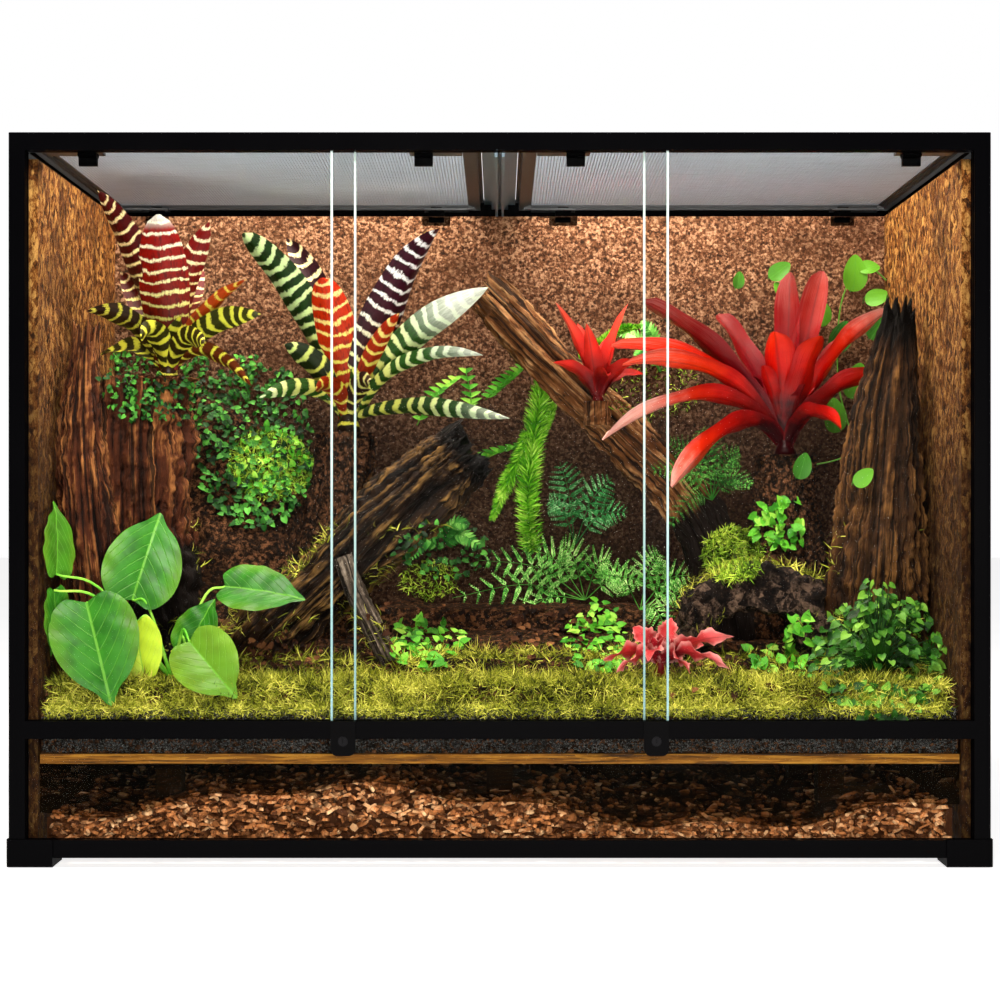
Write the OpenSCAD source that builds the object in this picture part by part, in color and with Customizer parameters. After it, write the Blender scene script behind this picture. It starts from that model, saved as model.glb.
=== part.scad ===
// Planted glass terrarium with three sliding front doors, a low window for the wet layer,
// two lift-off mesh screens with slide latches, and its inside of cork, wood, soil and plants.
// Origin: centre of the footprint on the ground. +X is right, +Y is to the rear, +Z is up.

/* [Enclosure] */
// Overall width over the corner feet
total_w = 1219; // [1180:1:1260]
// Overall depth over the corner feet
total_d = 610; // [590:1:640]
// Overall height
total_h = 909; // [880:1:940]
// Width and depth of every frame profile
bar = 21; // [20:0.5:24]
// Height of the front, side and base rails
rail_h = 22; // [21:0.5:26]
// Height of the rear top rail
rear_rail_h = 29; // [26:0.5:32]
// Thickness of every glass panel
glass_t = 5; // [4.6:0.1:5.4]

/* [Feet] */
// Side length of a corner foot
foot_w = 58; // [50:1:70]
// Height of a corner foot
foot_h = 36; // [34:1:42]
// How far a foot stands proud of the frame
foot_proud = 2.5; // [2:0.5:3]
// Height of the frame above the ground
ground_gap = 13; // [12:0.5:16]

/* [Doors and locks] */
// Visible height of the fixed front window
window_h = 125; // [110:1:140]
// How far two neighbouring doors cover each other
door_overlap = 31; // [24:1:36]
// Width of a lock body
lock_w = 31; // [28:1:34]
// Height of a lock body
lock_h = 43; // [40:1:46]
// Diameter of a lock cylinder
lock_d = 12; // [10:0.5:14]

/* [Screens and latches] */
// Width of the members of a screen frame
member_w = 18; // [16:0.5:20]
// Width of a latch
latch_w = 23; // [18:1:26]
// Travel of a latch
latch_travel = 3.5; // [3:0.1:3.8]
// Distance of the inner latches from the centre
latch_inner_x = 95; // [80:1:110]
// Distance of the outer latches from the centre
latch_outer_x = 514; // [500:1:520]
// Gaps of a screen's net along each side
net_gaps = 12; // [6:1:12]

/* [Planting] */
// Thickness of the rear cork panel
cork_back_t = 30; // [20:1:35]
// Thickness of the side cork panels
cork_side_t = 14; // [10:1:18]
// Height of the water surface
water_z = 127; // [110:1:132]
// Height of the gravel edge behind the doors
gravel_z = 193; // [188:1:198]

/* [Hidden] */

// Frame faces: outer and inner faces of the posts and rails
fx = total_w / 2 - foot_proud;
fy = total_d / 2 - foot_proud;
ix = fx - bar;
iy = fy - bar;

// Heights of the rails
base_z = ground_gap;
base_top = base_z + rail_h;
mid_z = base_top + window_h;
mid_top = mid_z + rail_h;
top_z = total_h - rail_h;
rear_top_z = total_h - rear_rail_h;

// Slots for the fixed panels, measured inwards from the outer face of a profile
slot_u = 4;
slot_deep = 8;
floor_z = base_z + 8;
glass_top = total_h - 10;
wall_u = 18;
ledge_t = 4;

// Door tracks in the front profiles: two slots, the front one for the middle door
track_w = glass_t + 1;
track_lip = 2.5;
track_rib = 2.5;
track_front_u = track_lip;
track_rear_u = track_lip + track_w + track_rib;
track_depth = 8;
track_end = 10;
track_roof = total_h - 8;
door_z = mid_top - track_depth;
door_top = top_z + 5;
door_front_y = -fy + track_front_u + (track_w - glass_t) / 2;
door_rear_y = -fy + track_rear_u + (track_w - glass_t) / 2;
door_span = 2 * (ix + track_end);
door_w = (door_span + 2 * door_overlap) / 3;
door_edge = door_w / 2;
seal_w = 2.6;

// Locks hang from the middle rail at the centre of each overlap
lock_x = door_edge - door_overlap / 2;
lock_z = mid_z - 3;
lock_proud = 2.2;
lock_back_y = -fy + 4.6;
cam_t = 2;
cam_len = 12;
cam_w = 6;
lock_gap = 0.05;

// Screens rest with an outer flange on a shoulder cut into the rails and the centre beam
shoulder = 6;
shoulder_z = total_h - shoulder;
flange_t = 3;
beam_w = 46;
beam_ridge = 30;
beam_box = 25;
screen_in_x = 29;
screen_out_x = ix - 2;
screen_y = iy - 2;
screen_z = shoulder_z - 12;
net_z = screen_z + 6;
net_t = 1.2;
wire = 1.6;
plate_t = 3;
plate_deep = 30;
LATCH_X = [-latch_outer_x, -latch_inner_x, latch_inner_x, latch_outer_x];

// Inside faces that hold the planting
in_x = ix - cork_side_t;
in_back = iy - cork_back_t;
in_front = -iy;
bed_z = base_z + ledge_t + glass_t;
board_t = 12;
board_top = water_z + board_t;

// The ground rises from the doors to the rear in four terraces: [front, rear, height]
TERRACE = [[-252, -150, 222], [-122, -2, 245], [30, 138, 262], [168, in_back, 300]];

// Seats of the plants that live on wood
LEFT_SEAT = [-446, -62, 616];
TALL_SEAT = [-214, 84, 550];
RED_SEAT = [404, 84, 518];
SMALL_SEAT = [138, 58, 594];

$fn = 48;
frame_colour = [0.07, 0.07, 0.08];
glass_colour = [0.75, 0.86, 0.84, 0.35];
cork_colour = [0.48, 0.28, 0.15];
wood_colour = [0.24, 0.17, 0.12];

// Profiles are drawn with u measured inwards from the outer face, and z upwards

module base_profile(slot) {
    difference() {
        union() {
            translate([0, base_z]) square([wall_u, rail_h]);
            translate([0, base_z]) square([bar, ledge_t]);
        }
        translate([slot, floor_z]) square([glass_t, rail_h]);
        translate([3, base_z - 1]) square([wall_u - 6, 6]);
    }
}

module shoulder_cut(profile_w) {
    translate([profile_w - shoulder, shoulder_z]) square([shoulder + 1, shoulder + 1]);
}

module top_profile(height) {
    difference() {
        translate([0, total_h - height]) square([bar, height]);
        translate([slot_u, total_h - height - 1]) square([glass_t, glass_top - total_h + height + 1]);
        translate([slot_u + glass_t + 2, total_h - height + 2]) square([bar - slot_u - glass_t - 4, height - 10]);
        shoulder_cut(bar);
    }
}

module track_slots(low, high) {
    for (u = [track_front_u, track_rear_u])
        translate([u, low]) square([track_w, high - low]);
}

module top_front_profile() {
    difference() {
        translate([0, top_z]) square([bar, rail_h]);
        track_slots(top_z - 1, track_roof);
        shoulder_cut(bar);
    }
}

module mid_profile() {
    difference() {
        translate([0, mid_z]) square([bar, rail_h]);
        track_slots(door_z, mid_top + 1);
        translate([track_rear_u + 0.5, mid_z - 1]) square([glass_t, slot_deep + 1]);
        translate([track_lip, mid_z + 2]) square([track_w, 9]);
    }
}

// Lays a profile along X, with u running rearwards from the front face
module along_front(length) {
    translate([-length / 2, -fy, 0]) rotate([90, 0, 90]) linear_extrude(length) children();
}

// The same along the rear, with u running forwards
module along_rear(length) {
    mirror([0, 1, 0]) along_front(length) children();
}

// Lays a profile along Y, with u running inwards from the right or left face
module along_side(side, length) {
    mirror([side > 0 ? 1 : 0, 0, 0])
        translate([-fx, length / 2, 0]) rotate([90, 0, 0]) linear_extrude(length) children();
}

module base_rail_front() {
    color(frame_colour) along_front(2 * ix) base_profile(track_rear_u + 0.5);
}

module base_rail_rear() {
    color(frame_colour) along_rear(2 * ix) base_profile(slot_u);
}

module base_rails_side() {
    color(frame_colour) for (side = [-1, 1])
        along_side(side, 2 * iy) base_profile(slot_u);
}

// A square corner section with a true quarter round on its outer edge
module corner_section(size, proud, r) {
    translate([-fx - proud, -fy - proud]) {
        translate([r, r]) circle(r);
        translate([r, 0]) square([size - r, size]);
        translate([0, r]) square([size, size - r]);
    }
}

module each_corner() {
    for (x = [0, 1], y = [0, 1])
        let ($front = y == 0) mirror([x, 0, 0]) mirror([0, y, 0]) children();
}

module corner_foot() {
    low = 2;
    difference() {
        translate([0, 0, low]) linear_extrude(foot_h - low) corner_section(foot_w, foot_proud, 6);
        translate([-fx, -fy, base_z]) cube([foot_w, foot_w, foot_h]);
        translate([-fx + 8, -fy + 8, low - 1]) cube([foot_w - 20, foot_w - 20, 6]);
    }
}

module corner_feet() {
    color(frame_colour) each_corner() corner_foot();
}

module foot_pads() {
    pad = foot_w - 30;
    color([0.12, 0.12, 0.12]) each_corner() {
        translate([-fx + 13, -fy + 13, 0]) cube([pad, pad, 7]);
    }
}

module side_slot() {
    translate([-fx + slot_u, -fy + bar - slot_deep]) square([glass_t, slot_deep + 1]);
}

// The front posts carry both door tracks; the low window stands in the rear track
module post_front() {
    translate([0, 0, base_z]) linear_extrude(top_z - base_z) difference() {
        corner_section(bar, 0, 4);
        side_slot();
        for (u = [track_front_u, track_rear_u])
            translate([-ix - track_end, -fy + u]) square([track_end + 1, track_w]);
    }
}

module post_rear() {
    translate([0, 0, base_z]) linear_extrude(top_z - base_z) difference() {
        mirror([0, 1]) corner_section(bar, 0, 4);
        mirror([0, 1]) side_slot();
        translate([-ix - slot_deep, fy - slot_u - glass_t]) square([slot_deep + 1, glass_t]);
    }
}

module posts_front() {
    color(frame_colour) for (m = [0, 1])
        mirror([m, 0, 0]) post_front();
}

module posts_rear() {
    color(frame_colour) for (m = [0, 1])
        mirror([m, 0, 0]) post_rear();
}

// Each top corner block has two spigots that plug into the hollow of its rails
module top_corners() {
    spigot_u = slot_u + glass_t + 2.2;
    spigot_w = bar - slot_u - glass_t - 4.4;
    spigot_len = 24;
    color(frame_colour) {
        each_corner() {
            difference() {
                translate([0, 0, top_z]) linear_extrude(rail_h) corner_section(bar, 0, 4);
                translate([-ix - shoulder, -iy - shoulder, shoulder_z]) cube(shoulder + 1);
                if ($front) for (u = [track_front_u, track_rear_u])
                    translate([-ix - track_end, -fy + u, top_z - 1])
                        cube([track_end + 1, track_w, track_roof - top_z + 1]);
            }
            translate([-fx + spigot_u, -fy + bar - 1, top_z + 2.2])
                cube([spigot_w, spigot_len + 1, 11.6]);
        }
    }
}

module top_rail_front() {
    color(frame_colour) along_front(2 * ix) top_front_profile();
}

module top_rail_rear() {
    color(frame_colour) along_rear(2 * ix) top_profile(rear_rail_h);
}

module top_rails_side() {
    color(frame_colour) for (side = [-1, 1])
        along_side(side, 2 * iy) top_profile(rail_h);
}

// The middle rail has a notch under each lock for its cam
module mid_rail() {
    color(frame_colour) difference() {
        along_front(2 * ix) mid_profile();
        for (s = [-1, 1])
            translate([s * lock_x - cam_len - 2, -fy + track_lip + 0.5, mid_z - 1])
                cube([2 * cam_len + 4, track_w - 1, 5]);
        for (s = [-1, 1])
            translate([s * lock_x, lock_back_y + 1, lock_z]) rotate([90, 0, 0])
                cylinder(d = lock_d + 1, h = bar);
    }
}

// Cross-section of the beam: flanges for the screens, a ridge, a box and two ribs below
module beam_profile() {
    rib_t = 3.6;
    rib_pitch = 9;
    translate([-beam_w / 2, shoulder_z - 3]) square([beam_w, 3]);
    translate([-beam_ridge / 2, shoulder_z - 1]) square([beam_ridge, shoulder + 1]);
    difference() {
        translate([-beam_box / 2, shoulder_z - 10]) square([beam_box, 10]);
        translate([-beam_box / 2 + 2, shoulder_z - 8]) square([beam_box - 4, 5]);
    }
    for (s = [-1, 1])
        translate([s * rib_pitch / 2 - rib_t / 2, shoulder_z - 21]) square([rib_t, 12]);
}

module centre_beam() {
    bearing = shoulder;
    color(frame_colour) {
        translate([0, iy, 0]) rotate([90, 0, 0]) linear_extrude(2 * iy) beam_profile();
        translate([-beam_ridge / 2, -iy - bearing, shoulder_z])
            cube([beam_ridge, 2 * (iy + bearing), shoulder]);
    }
}

// Fixed glass

module bottom_glass() {
    gx = fx - wall_u;
    gy = fy - wall_u;
    color(glass_colour) translate([0, 0, base_z + ledge_t]) linear_extrude(glass_t) {
        square([2 * gx, 2 * iy], center = true);
        square([2 * ix, 2 * gy], center = true);
    }
}

module side_glass(side) {
    length = 2 * (iy + slot_deep);
    x = side > 0 ? fx - slot_u - glass_t : -fx + slot_u;
    color(glass_colour) translate([x, -length / 2, floor_z])
        difference() {
            cube([glass_t, length, glass_top - floor_z]);
            // The ends stop under the corner blocks
            for (y = [-1, length - slot_deep])
                translate([-1, y, top_z - floor_z]) cube([glass_t + 2, slot_deep + 1, rail_h]);
        }
}

module left_glass() {
    side_glass(-1);
}

module right_glass() {
    side_glass(1);
}

module back_glass() {
    length = 2 * (ix + slot_deep);
    color(glass_colour) translate([-length / 2, fy - slot_u - glass_t, floor_z])
        difference() {
            cube([length, glass_t, glass_top - floor_z]);
            for (x = [-1, length - slot_deep])
                translate([x, -1, top_z - floor_z]) cube([slot_deep + 1, glass_t + 2, rail_h]);
        }
}

module front_window() {
    length = 2 * (ix + slot_deep);
    color(glass_colour) translate([-length / 2, door_rear_y, floor_z])
        cube([length, glass_t, mid_z + slot_deep - floor_z]);
}

// Sliding doors: the middle one runs in the front track, the outer two in the rear track

module door_pane(x, y, low_cut, high_cut) {
    color(glass_colour) translate([x - door_w / 2 + low_cut, y, door_z])
        cube([door_w - low_cut - high_cut, glass_t, door_top - door_z]);
}

module door_left() {
    door_pane(-door_w + door_overlap, door_rear_y, 0, seal_w);
}

module door_middle() {
    door_pane(0, door_front_y, seal_w, seal_w);
}

module door_right() {
    door_pane(door_w - door_overlap, door_rear_y, seal_w, 0);
}

// A clear strip closes the free edge of a door where it overlaps its neighbour
module edge_seal(x, y) {
    color([0.86, 0.9, 0.88, 0.6]) translate([x, y, mid_top + 0.5])
        cube([seal_w, glass_t, top_z - mid_top - 1]);
}

module door_left_seal() {
    edge_seal(-door_edge + door_overlap - seal_w, door_rear_y);
}

module door_middle_seals() {
    edge_seal(-door_edge, door_front_y);
    edge_seal(door_edge - seal_w, door_front_y);
}

module door_right_seal() {
    edge_seal(door_edge - door_overlap, door_rear_y);
}

// Outline of a lock body: straight sides and a rounded lower end
module lock_outline() {
    r = 9;
    translate([-lock_w / 2, r]) square([lock_w, lock_h - r]);
    translate([-lock_w / 2 + r, 0]) square([lock_w - 2 * r, r + 1]);
    for (s = [-1, 1])
        translate([s * (lock_w / 2 - r), r]) circle(r);
}

module lock_body(side) {
    bottom = mid_top - lock_h;
    color([0.05, 0.05, 0.06]) translate([side * lock_x, 0, 0]) difference() {
        translate([0, lock_back_y, bottom]) rotate([90, 0, 0])
            linear_extrude(lock_back_y + fy + lock_proud) lock_outline();
        // Above the rail's lower edge only the face plate stays, in front of the rail
        translate([-lock_w, -fy, mid_z]) cube([2 * lock_w, 20, rail_h + 1]);
        translate([0, 1 - fy + bar, lock_z]) rotate([90, 0, 0]) cylinder(d = lock_d, h = 2 * bar);
    }
}

module lock_body_left() {
    lock_body(-1);
}

module lock_body_right() {
    lock_body(1);
}

// The cylinder turns in the body; its cam lies sideways when the lock is open
module lock_cylinder(side) {
    front = -fy - lock_proud - 0.3;
    cam_y = lock_back_y + 0.3;
    color([0.5, 0.5, 0.52]) translate([side * lock_x, 0, lock_z]) {
        difference() {
            translate([0, cam_y, 0]) rotate([90, 0, 0])
                cylinder(d = lock_d - 2 * lock_gap, h = cam_y - front);
            translate([-0.8, front - 1, -3]) cube([1.6, 3, 6]);
        }
        translate([side > 0 ? -3 : 3 - cam_len, cam_y, -cam_w / 2]) cube([cam_len, cam_t, cam_w]);
    }
}

module lock_cylinder_left() {
    lock_cylinder(-1);
}

module lock_cylinder_right() {
    lock_cylinder(1);
}

// Member of a screen frame: v runs inwards from the outer edge. Outer flange, two steps
// below, and a groove that grips the net
module member_profile() {
    difference() {
        polygon([[0, screen_z], [8, screen_z], [8, screen_z + 3], [13, screen_z + 3],
            [13, screen_z + 5], [member_w, screen_z + 5], [member_w, shoulder_z],
            [0, shoulder_z]]);
        translate([member_w - 6, net_z]) square([7, net_t]);
    }
    translate([-5, shoulder_z]) square([5 + member_w, flange_t]);
}

// Runs its child, a member profile, along one side of a screen between the corner blocks
module screen_side(cx, cy, half, turn) {
    translate([cx, cy, 0]) rotate([0, 0, turn]) translate([-half, 0, 0])
        rotate([90, 0, 90]) linear_extrude(2 * half) children();
}

// The plate under a member guides a latch: the latch's neck slides in its slot
module latch_plate(x, from_x, to_x) {
    slot_low = 12 - latch_travel - 0.3;
    difference() {
        translate([from_x, 0, screen_z - plate_t]) cube([to_x - from_x, plate_deep, plate_t]);
        translate([x - 5.3, slot_low, screen_z - plate_t - 1])
            cube([10.6, 18.3 - slot_low, plate_t + 2]);
    }
}

module screen_frame(side) {
    mid_x = (screen_in_x + screen_out_x) / 2;
    half_x = (screen_out_x - screen_in_x) / 2 - member_w;
    half_y = screen_y - member_w;
    color([0.1, 0.1, 0.11]) mirror([side > 0 ? 0 : 1, 0, 0]) {
        screen_side(mid_x, -screen_y, half_x, 0) member_profile();
        screen_side(mid_x, screen_y, half_x, 180) member_profile();
        screen_side(screen_in_x, 0, half_y, -90) member_profile();
        screen_side(screen_out_x, 0, half_y, 90) member_profile();
        for (m = [0, 1])
            mirror([0, m, 0]) translate([0, -screen_y, 0]) {
                latch_plate(latch_outer_x, latch_outer_x - 18, screen_out_x - member_w);
                latch_plate(latch_inner_x, screen_in_x + member_w, latch_inner_x + 18);
            }
    }
}

module screen_frame_left() {
    screen_frame(-1);
}

module screen_frame_right() {
    screen_frame(1);
}

// Corner blocks close the frame; each has the flange on its two outer sides
module screen_corners(side) {
    color([0.3, 0.3, 0.31]) mirror([side > 0 ? 0 : 1, 0, 0])
        for (m = [0, 1]) mirror([0, m, 0]) {
            for (c = [[screen_in_x, -5, 0], [screen_out_x - member_w, 0, 5]]) {
                translate([c[0], -screen_y, screen_z]) cube([member_w, member_w, 12]);
                translate([c[0] + c[1], -screen_y - 5, shoulder_z])
                    cube([member_w + c[2] - c[1], member_w + 5, flange_t]);
            }
        }
}

module screen_corners_left() {
    screen_corners(-1);
}

module screen_corners_right() {
    screen_corners(1);
}

// A flat net: its border lies in the grooves of the members
module screen_net(side) {
    grip = 6;
    x0 = screen_in_x + member_w - grip;
    x1 = screen_out_x - member_w + grip;
    y1 = screen_y - member_w + grip;
    pitch_x = (x1 - x0 - 2 * grip) / net_gaps;
    pitch_y = 2 * (y1 - grip) / net_gaps;
    color([0.35, 0.36, 0.37]) mirror([side > 0 ? 0 : 1, 0, 0])
        translate([0, 0, net_z]) linear_extrude(net_t) difference() {
            translate([x0, -y1]) square([x1 - x0, 2 * y1]);
            for (c = [0, 1], m = [0, 1])
                translate([c ? x1 - grip : x0 - 1, m ? y1 - grip : -y1 - 1])
                    square([grip + 1, grip + 1]);
            for (i = [0 : net_gaps - 1], j = [0 : net_gaps - 1])
                translate([x0 + grip + i * pitch_x + wire / 2, -y1 + grip + j * pitch_y + wire / 2])
                    square([pitch_x - wire, pitch_y - wire]);
        }
}

module screen_net_left() {
    screen_net(-1);
}

module screen_net_right() {
    screen_net(1);
}

// Latch profile: v inwards from the screen's edge. A head in the member's step, a neck, a
// body with a nose that slides under the rail, and a grip for a fingertip
module latch(x, rear) {
    under = rear ? rear_top_z : top_z;
    body_low = rear ? 876 : 881;
    gap = 0.3;
    color([0.04, 0.04, 0.05]) mirror([0, rear ? 1 : 0, 0]) translate([x, -screen_y, 0]) {
        translate([-8, 12, screen_z]) cube([16, 10, 2.5]);
        translate([-5, 12, screen_z - plate_t - gap]) cube([10, 6, plate_t + gap]);
        translate([-latch_w / 2, 0, 0]) rotate([90, 0, 90]) linear_extrude(latch_w)
            polygon([[2, screen_z - plate_t - gap], [20, screen_z - plate_t - gap],
                [20, body_low + 4], [13, body_low], [13, 872], [6, 872], [5, body_low],
                [2, under - 4], [-1.5, under - 3.4], [-1.5, under - 0.6], [2, under - 0.4]]);
    }
}

module latch_front_1() { latch(LATCH_X[0], false); }
module latch_front_2() { latch(LATCH_X[1], false); }
module latch_front_3() { latch(LATCH_X[2], false); }
module latch_front_4() { latch(LATCH_X[3], false); }
module latch_rear_1() { latch(LATCH_X[0], true); }
module latch_rear_2() { latch(LATCH_X[1], true); }
module latch_rear_3() { latch(LATCH_X[2], true); }
module latch_rear_4() { latch(LATCH_X[3], true); }

// Cork panels stand on the bottom glass; the rear one is notched round the rear latches

module cork_back() {
    top = rear_top_z - 0.5;
    color(cork_colour) difference() {
        translate([-ix, in_back, bed_z]) cube([2 * ix, cork_back_t, top - bed_z]);
        for (x = LATCH_X)
            translate([x - latch_w / 2 - 6, in_back - 1, 868])
                cube([latch_w + 12, cork_back_t + 2, 20]);
    }
}

module cork_sides() {
    color([0.62, 0.36, 0.17]) for (m = [0, 1])
        mirror([m, 0, 0]) translate([-ix, in_front, bed_z])
            cube([cork_side_t, in_back - in_front, top_z - 7 - bed_z]);
}

// Height of the chips along X: a heap with a dip, lower at the right
function chips_z(x) = 74 + 22 * cos((x + 180) * 0.42) + 7 * sin(x * 1.7) - x * 0.012;

module chips_outline() {
    step = 2 * in_x / 36;
    polygon(concat([[in_x, bed_z], [-in_x, bed_z]],
        [for (i = [0 : 36]) let (x = -in_x + i * step) [x, chips_z(x)]]));
}

// Lays an outline of X and Z through the depth of the planting
module through_depth() {
    translate([0, in_back, 0]) rotate([90, 0, 0])
        linear_extrude(in_back - in_front) children();
}

module wood_chips() {
    color([0.5, 0.33, 0.2]) difference() {
        through_depth() chips_outline();
        riser_legs();
    }
}

module water() {
    color([0.1, 0.13, 0.1, 0.5]) difference() {
        through_depth() difference() {
            translate([-in_x, bed_z]) square([2 * in_x, water_z - bed_z]);
            chips_outline();
        }
        riser_legs();
    }
}

// Square risers carry the board that holds the soil above the water
module riser_legs() {
    leg = 34;
    for (x = [-430, 0, 430], y = [-150, 130])
        translate([x - leg / 2, y - leg / 2, bed_z]) cube([leg, leg, water_z - bed_z]);
}

module false_bottom() {
    color([0.55, 0.38, 0.2]) {
        riser_legs();
        translate([-in_x, in_front, water_z]) cube([2 * in_x, in_back - in_front, board_t]);
    }
}

module soil() {
    color([0.3, 0.36, 0.12]) translate([-in_x, 0, 0]) rotate([90, 0, 90])
        linear_extrude(2 * in_x) polygon(concat(
            [[in_back, board_top], [in_front, board_top], [in_front, gravel_z],
                [in_front + 16, gravel_z]],
            [for (t = TERRACE) each [[t[0], t[2]], [t[1], t[2]]]]));
}

// Ring of a branch: sides points round the centre c, square to the direction d
function unit(v) = v / norm(v);
function ring(c, d, r, sides, wobble, seed) =
    let (a = unit(cross(d, [0.13, 1, 0.07])), b = cross(unit(d), a))
    [for (i = [0 : sides - 1]) let (t = 360 * i / sides,
        k = r * (1 + wobble * sin(t * 2 + seed * 47) + wobble * 0.6 * cos(t * 3 + seed * 91)))
        c + k * (cos(t) * a + sin(t) * b)];

// The same faces wound the other way
function flipped(faces) = [for (f = faces) [for (i = [len(f) - 1 : -1 : 0]) f[i]]];

// Closed skin over rings that each have the same number of points
function skin_faces(rings, sides) = flipped(concat(
    [[for (i = [sides - 1 : -1 : 0]) i]],
    [for (k = [0 : rings - 2], i = [0 : sides - 1]) let (j = (i + 1) % sides, a = k * sides)
        each [[a + i, a + j, a + sides + j], [a + i, a + sides + j, a + sides + i]]],
    [[for (i = [0 : sides - 1]) (rings - 1) * sides + i]]));

module branch(path, radii, sides = 9, wobble = 0.1, seed = 1) {
    last = len(path) - 1;
    rings = [for (i = [0 : last])
        ring(path[i], path[min(i + 1, last)] - path[max(i - 1, 0)], radii[i], sides, wobble, seed + i * 0.3)];
    polyhedron([for (r = rings) each r], skin_faces(last + 1, sides));
}

// Keeps what stands above a terrace, so that a piece sits flat on it
module above(z) {
    intersection() {
        children();
        translate([-in_x, in_front, z]) cube([2 * in_x, in_back - in_front, 700]);
    }
}

// Cuts a piece off level, as the seat of what stands on it
module below(z) {
    intersection() {
        children();
        translate([-in_x, in_front, 0]) cube([2 * in_x, in_back - in_front, z]);
    }
}

module driftwood_trunk() {
    color([0.16, 0.12, 0.1]) above(TERRACE[1][2])
        branch([[-390, -62, 180], [-320, -62, 262], [-240, -61, 340], [-160, -59, 418],
            [-92, -58, 482], [-46, -58, 520]], [44, 42, 41, 43, 43, 34], 10, 0.12, 2);
}

// A steep bank of roots and soil fills the rear left corner, behind the stump and the trunk
module root_bank() {
    front = 12;
    low = TERRACE[1];
    mid = TERRACE[2];
    high = TERRACE[3];
    foot = low[2] + (front - low[1]) * (mid[2] - low[2]) / (mid[0] - low[1]);
    slope = [[front, foot], [mid[0], mid[2]], [mid[1], mid[2]], [high[0], high[2]], [in_back, high[2]],
        [in_back, 620], [78, 620], [34, 420]];
    crest = [[-in_x, 240], [-190, 240], [-190, 456], [-308, 533], [-362, 576], [-420, 606], [-in_x, 606]];
    plan = [[-in_x, front], [-308, front], [-308, 140], [-232, 200], [-190, in_back], [-in_x, in_back]];
    color([0.2, 0.13, 0.08]) intersection() {
        translate([-in_x, 0, 0]) rotate([90, 0, 90]) linear_extrude(in_x) polygon(slope);
        translate([0, in_back, 0]) rotate([90, 0, 0]) linear_extrude(in_back) polygon(crest);
        linear_extrude(top_z) polygon(plan);
    }
}

// A stub grows up from a log and ends flat, as the seat of a plant that lives on wood
module stub(at, r, h) {
    translate(at) cylinder(r = r, h = h, $fn = 9);
}

module leaning_log() {
    color(wood_colour) {
        above(TERRACE[2][2])
            branch([[336, 84, 230], [300, 86, 390], [256, 90, 469], [195, 96, 530], [136, 100, 588],
                [60, 106, 662], [-14, 112, 740]], [30, 27, 25, 25, 24, 24, 20], 10, 0.12, 4);
        stub(SMALL_SEAT - [0, 0, 34], 19, 34);
    }
}

// Upright stumps of cork and wood that end flat under a plant, and a bare cone at the right
module cork_stumps() {
    color([0.3, 0.16, 0.1]) {
        above(TERRACE[1][2]) below(LEFT_SEAT[2])
            branch([[-484, -84, 210], [-484, -84, 340], [-488, -82, 450], [-490, -80, 560],
                [-484, -78, 650]], [76, 73, 69, 71, 73], 13, 0.06, 3);
        above(TERRACE[2][2]) below(TALL_SEAT[2])
            branch([[-252, 84, 240], [-242, 84, 350], [-228, 84, 450], [-218, 84, 580]],
                [46, 40, 34, 38], 10, 0.07, 6);
        above(TERRACE[2][2]) below(RED_SEAT[2])
            branch([[420, 84, 240], [412, 84, 380], [404, 84, 470], [404, 84, 560]],
                [44, 36, 32, 36], 10, 0.07, 8);
        above(TERRACE[1][2])
            branch([[506, -62, 210], [510, -62, 330], [520, -62, 450], [532, -62, 580],
                [544, -62, 711]], [54, 46, 36, 26, 9], 11, 0.05, 5);
    }
}

// A rock shelf on two feet, with a cave below it
module cave_rock() {
    color([0.2, 0.17, 0.15]) translate([345, -10, TERRACE[1][2]]) rotate([90, 0, 0])
        linear_extrude(100)
            polygon([[-112, 0], [-78, 0], [-66, 40], [-20, 62], [34, 58], [62, 0], [100, 0],
                [96, 60], [76, 108], [10, 124], [-58, 114], [-98, 80]]);
}

// A blade is a curve from the crown to its tip, p: [tip x, y, z, width, rise]. It leaves
// the crown steeply, up to the rise, and bends over to the tip. Its face turns to the front
function heading(p) = unit([p[0], p[1], 0]);
function blade_curve(p, s) = let (tip = [p[0], p[1], p[2]], up = [0.3 * p[0], 0.3 * p[1], p[4]])
    heading(p) * 7 * (1 - s) + 2 * s * (1 - s) * up + s * s * tip;
function blade_half(p, s) = p[3] / 2 * (s > 0.6 ? sqrt(max(0.01, 1 - pow((s - 0.6) / 0.4, 2)))
    : 0.36 + 0.64 * sin(s / 0.6 * 90));
function blade_side(p, d) = let (h = heading(p), flat = cross([0, 0, 1], h),
    facing = unit([d[2], 0, -d[0]]) * (h[1] > 0 ? -1 : 1)) unit(0.45 * flat + 0.55 * facing);
function blade_rings(p, stations) =
    [for (i = [0 : stations]) let (s = i / stations, w = blade_half(p, s), cup = w * 0.3, t = 1.2,
        d = unit(blade_curve(p, s + 0.01) - blade_curve(p, s - 0.01)), side = blade_side(p, d),
        up = unit(cross(d, side)), c = blade_curve(p, s))
        each [c - side * w + up * cup, c - up * t, c + side * w + up * cup, c + up * t]];

module blade(p, stations = 5) {
    polyhedron(blade_rings(p, stations), skin_faces(stations + 1, 4));
}

// A rosette: a crown on its seat, and each blade joined to its core by a short root
module rosette(seat, blades, crown_r, crown_h) {
    translate(seat) union() {
        cylinder(r1 = crown_r, r2 = crown_r * 0.8, h = crown_h, $fn = 9);
        for (p = blades)
            translate([0, 0, crown_h * 0.55]) {
                blade(p);
                hull() {
                    translate([-1.5, -1.5, -3]) cube(3);
                    translate(blade_curve(p, 0.05)) cube(2, center = true);
                }
            }
    }
}

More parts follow.
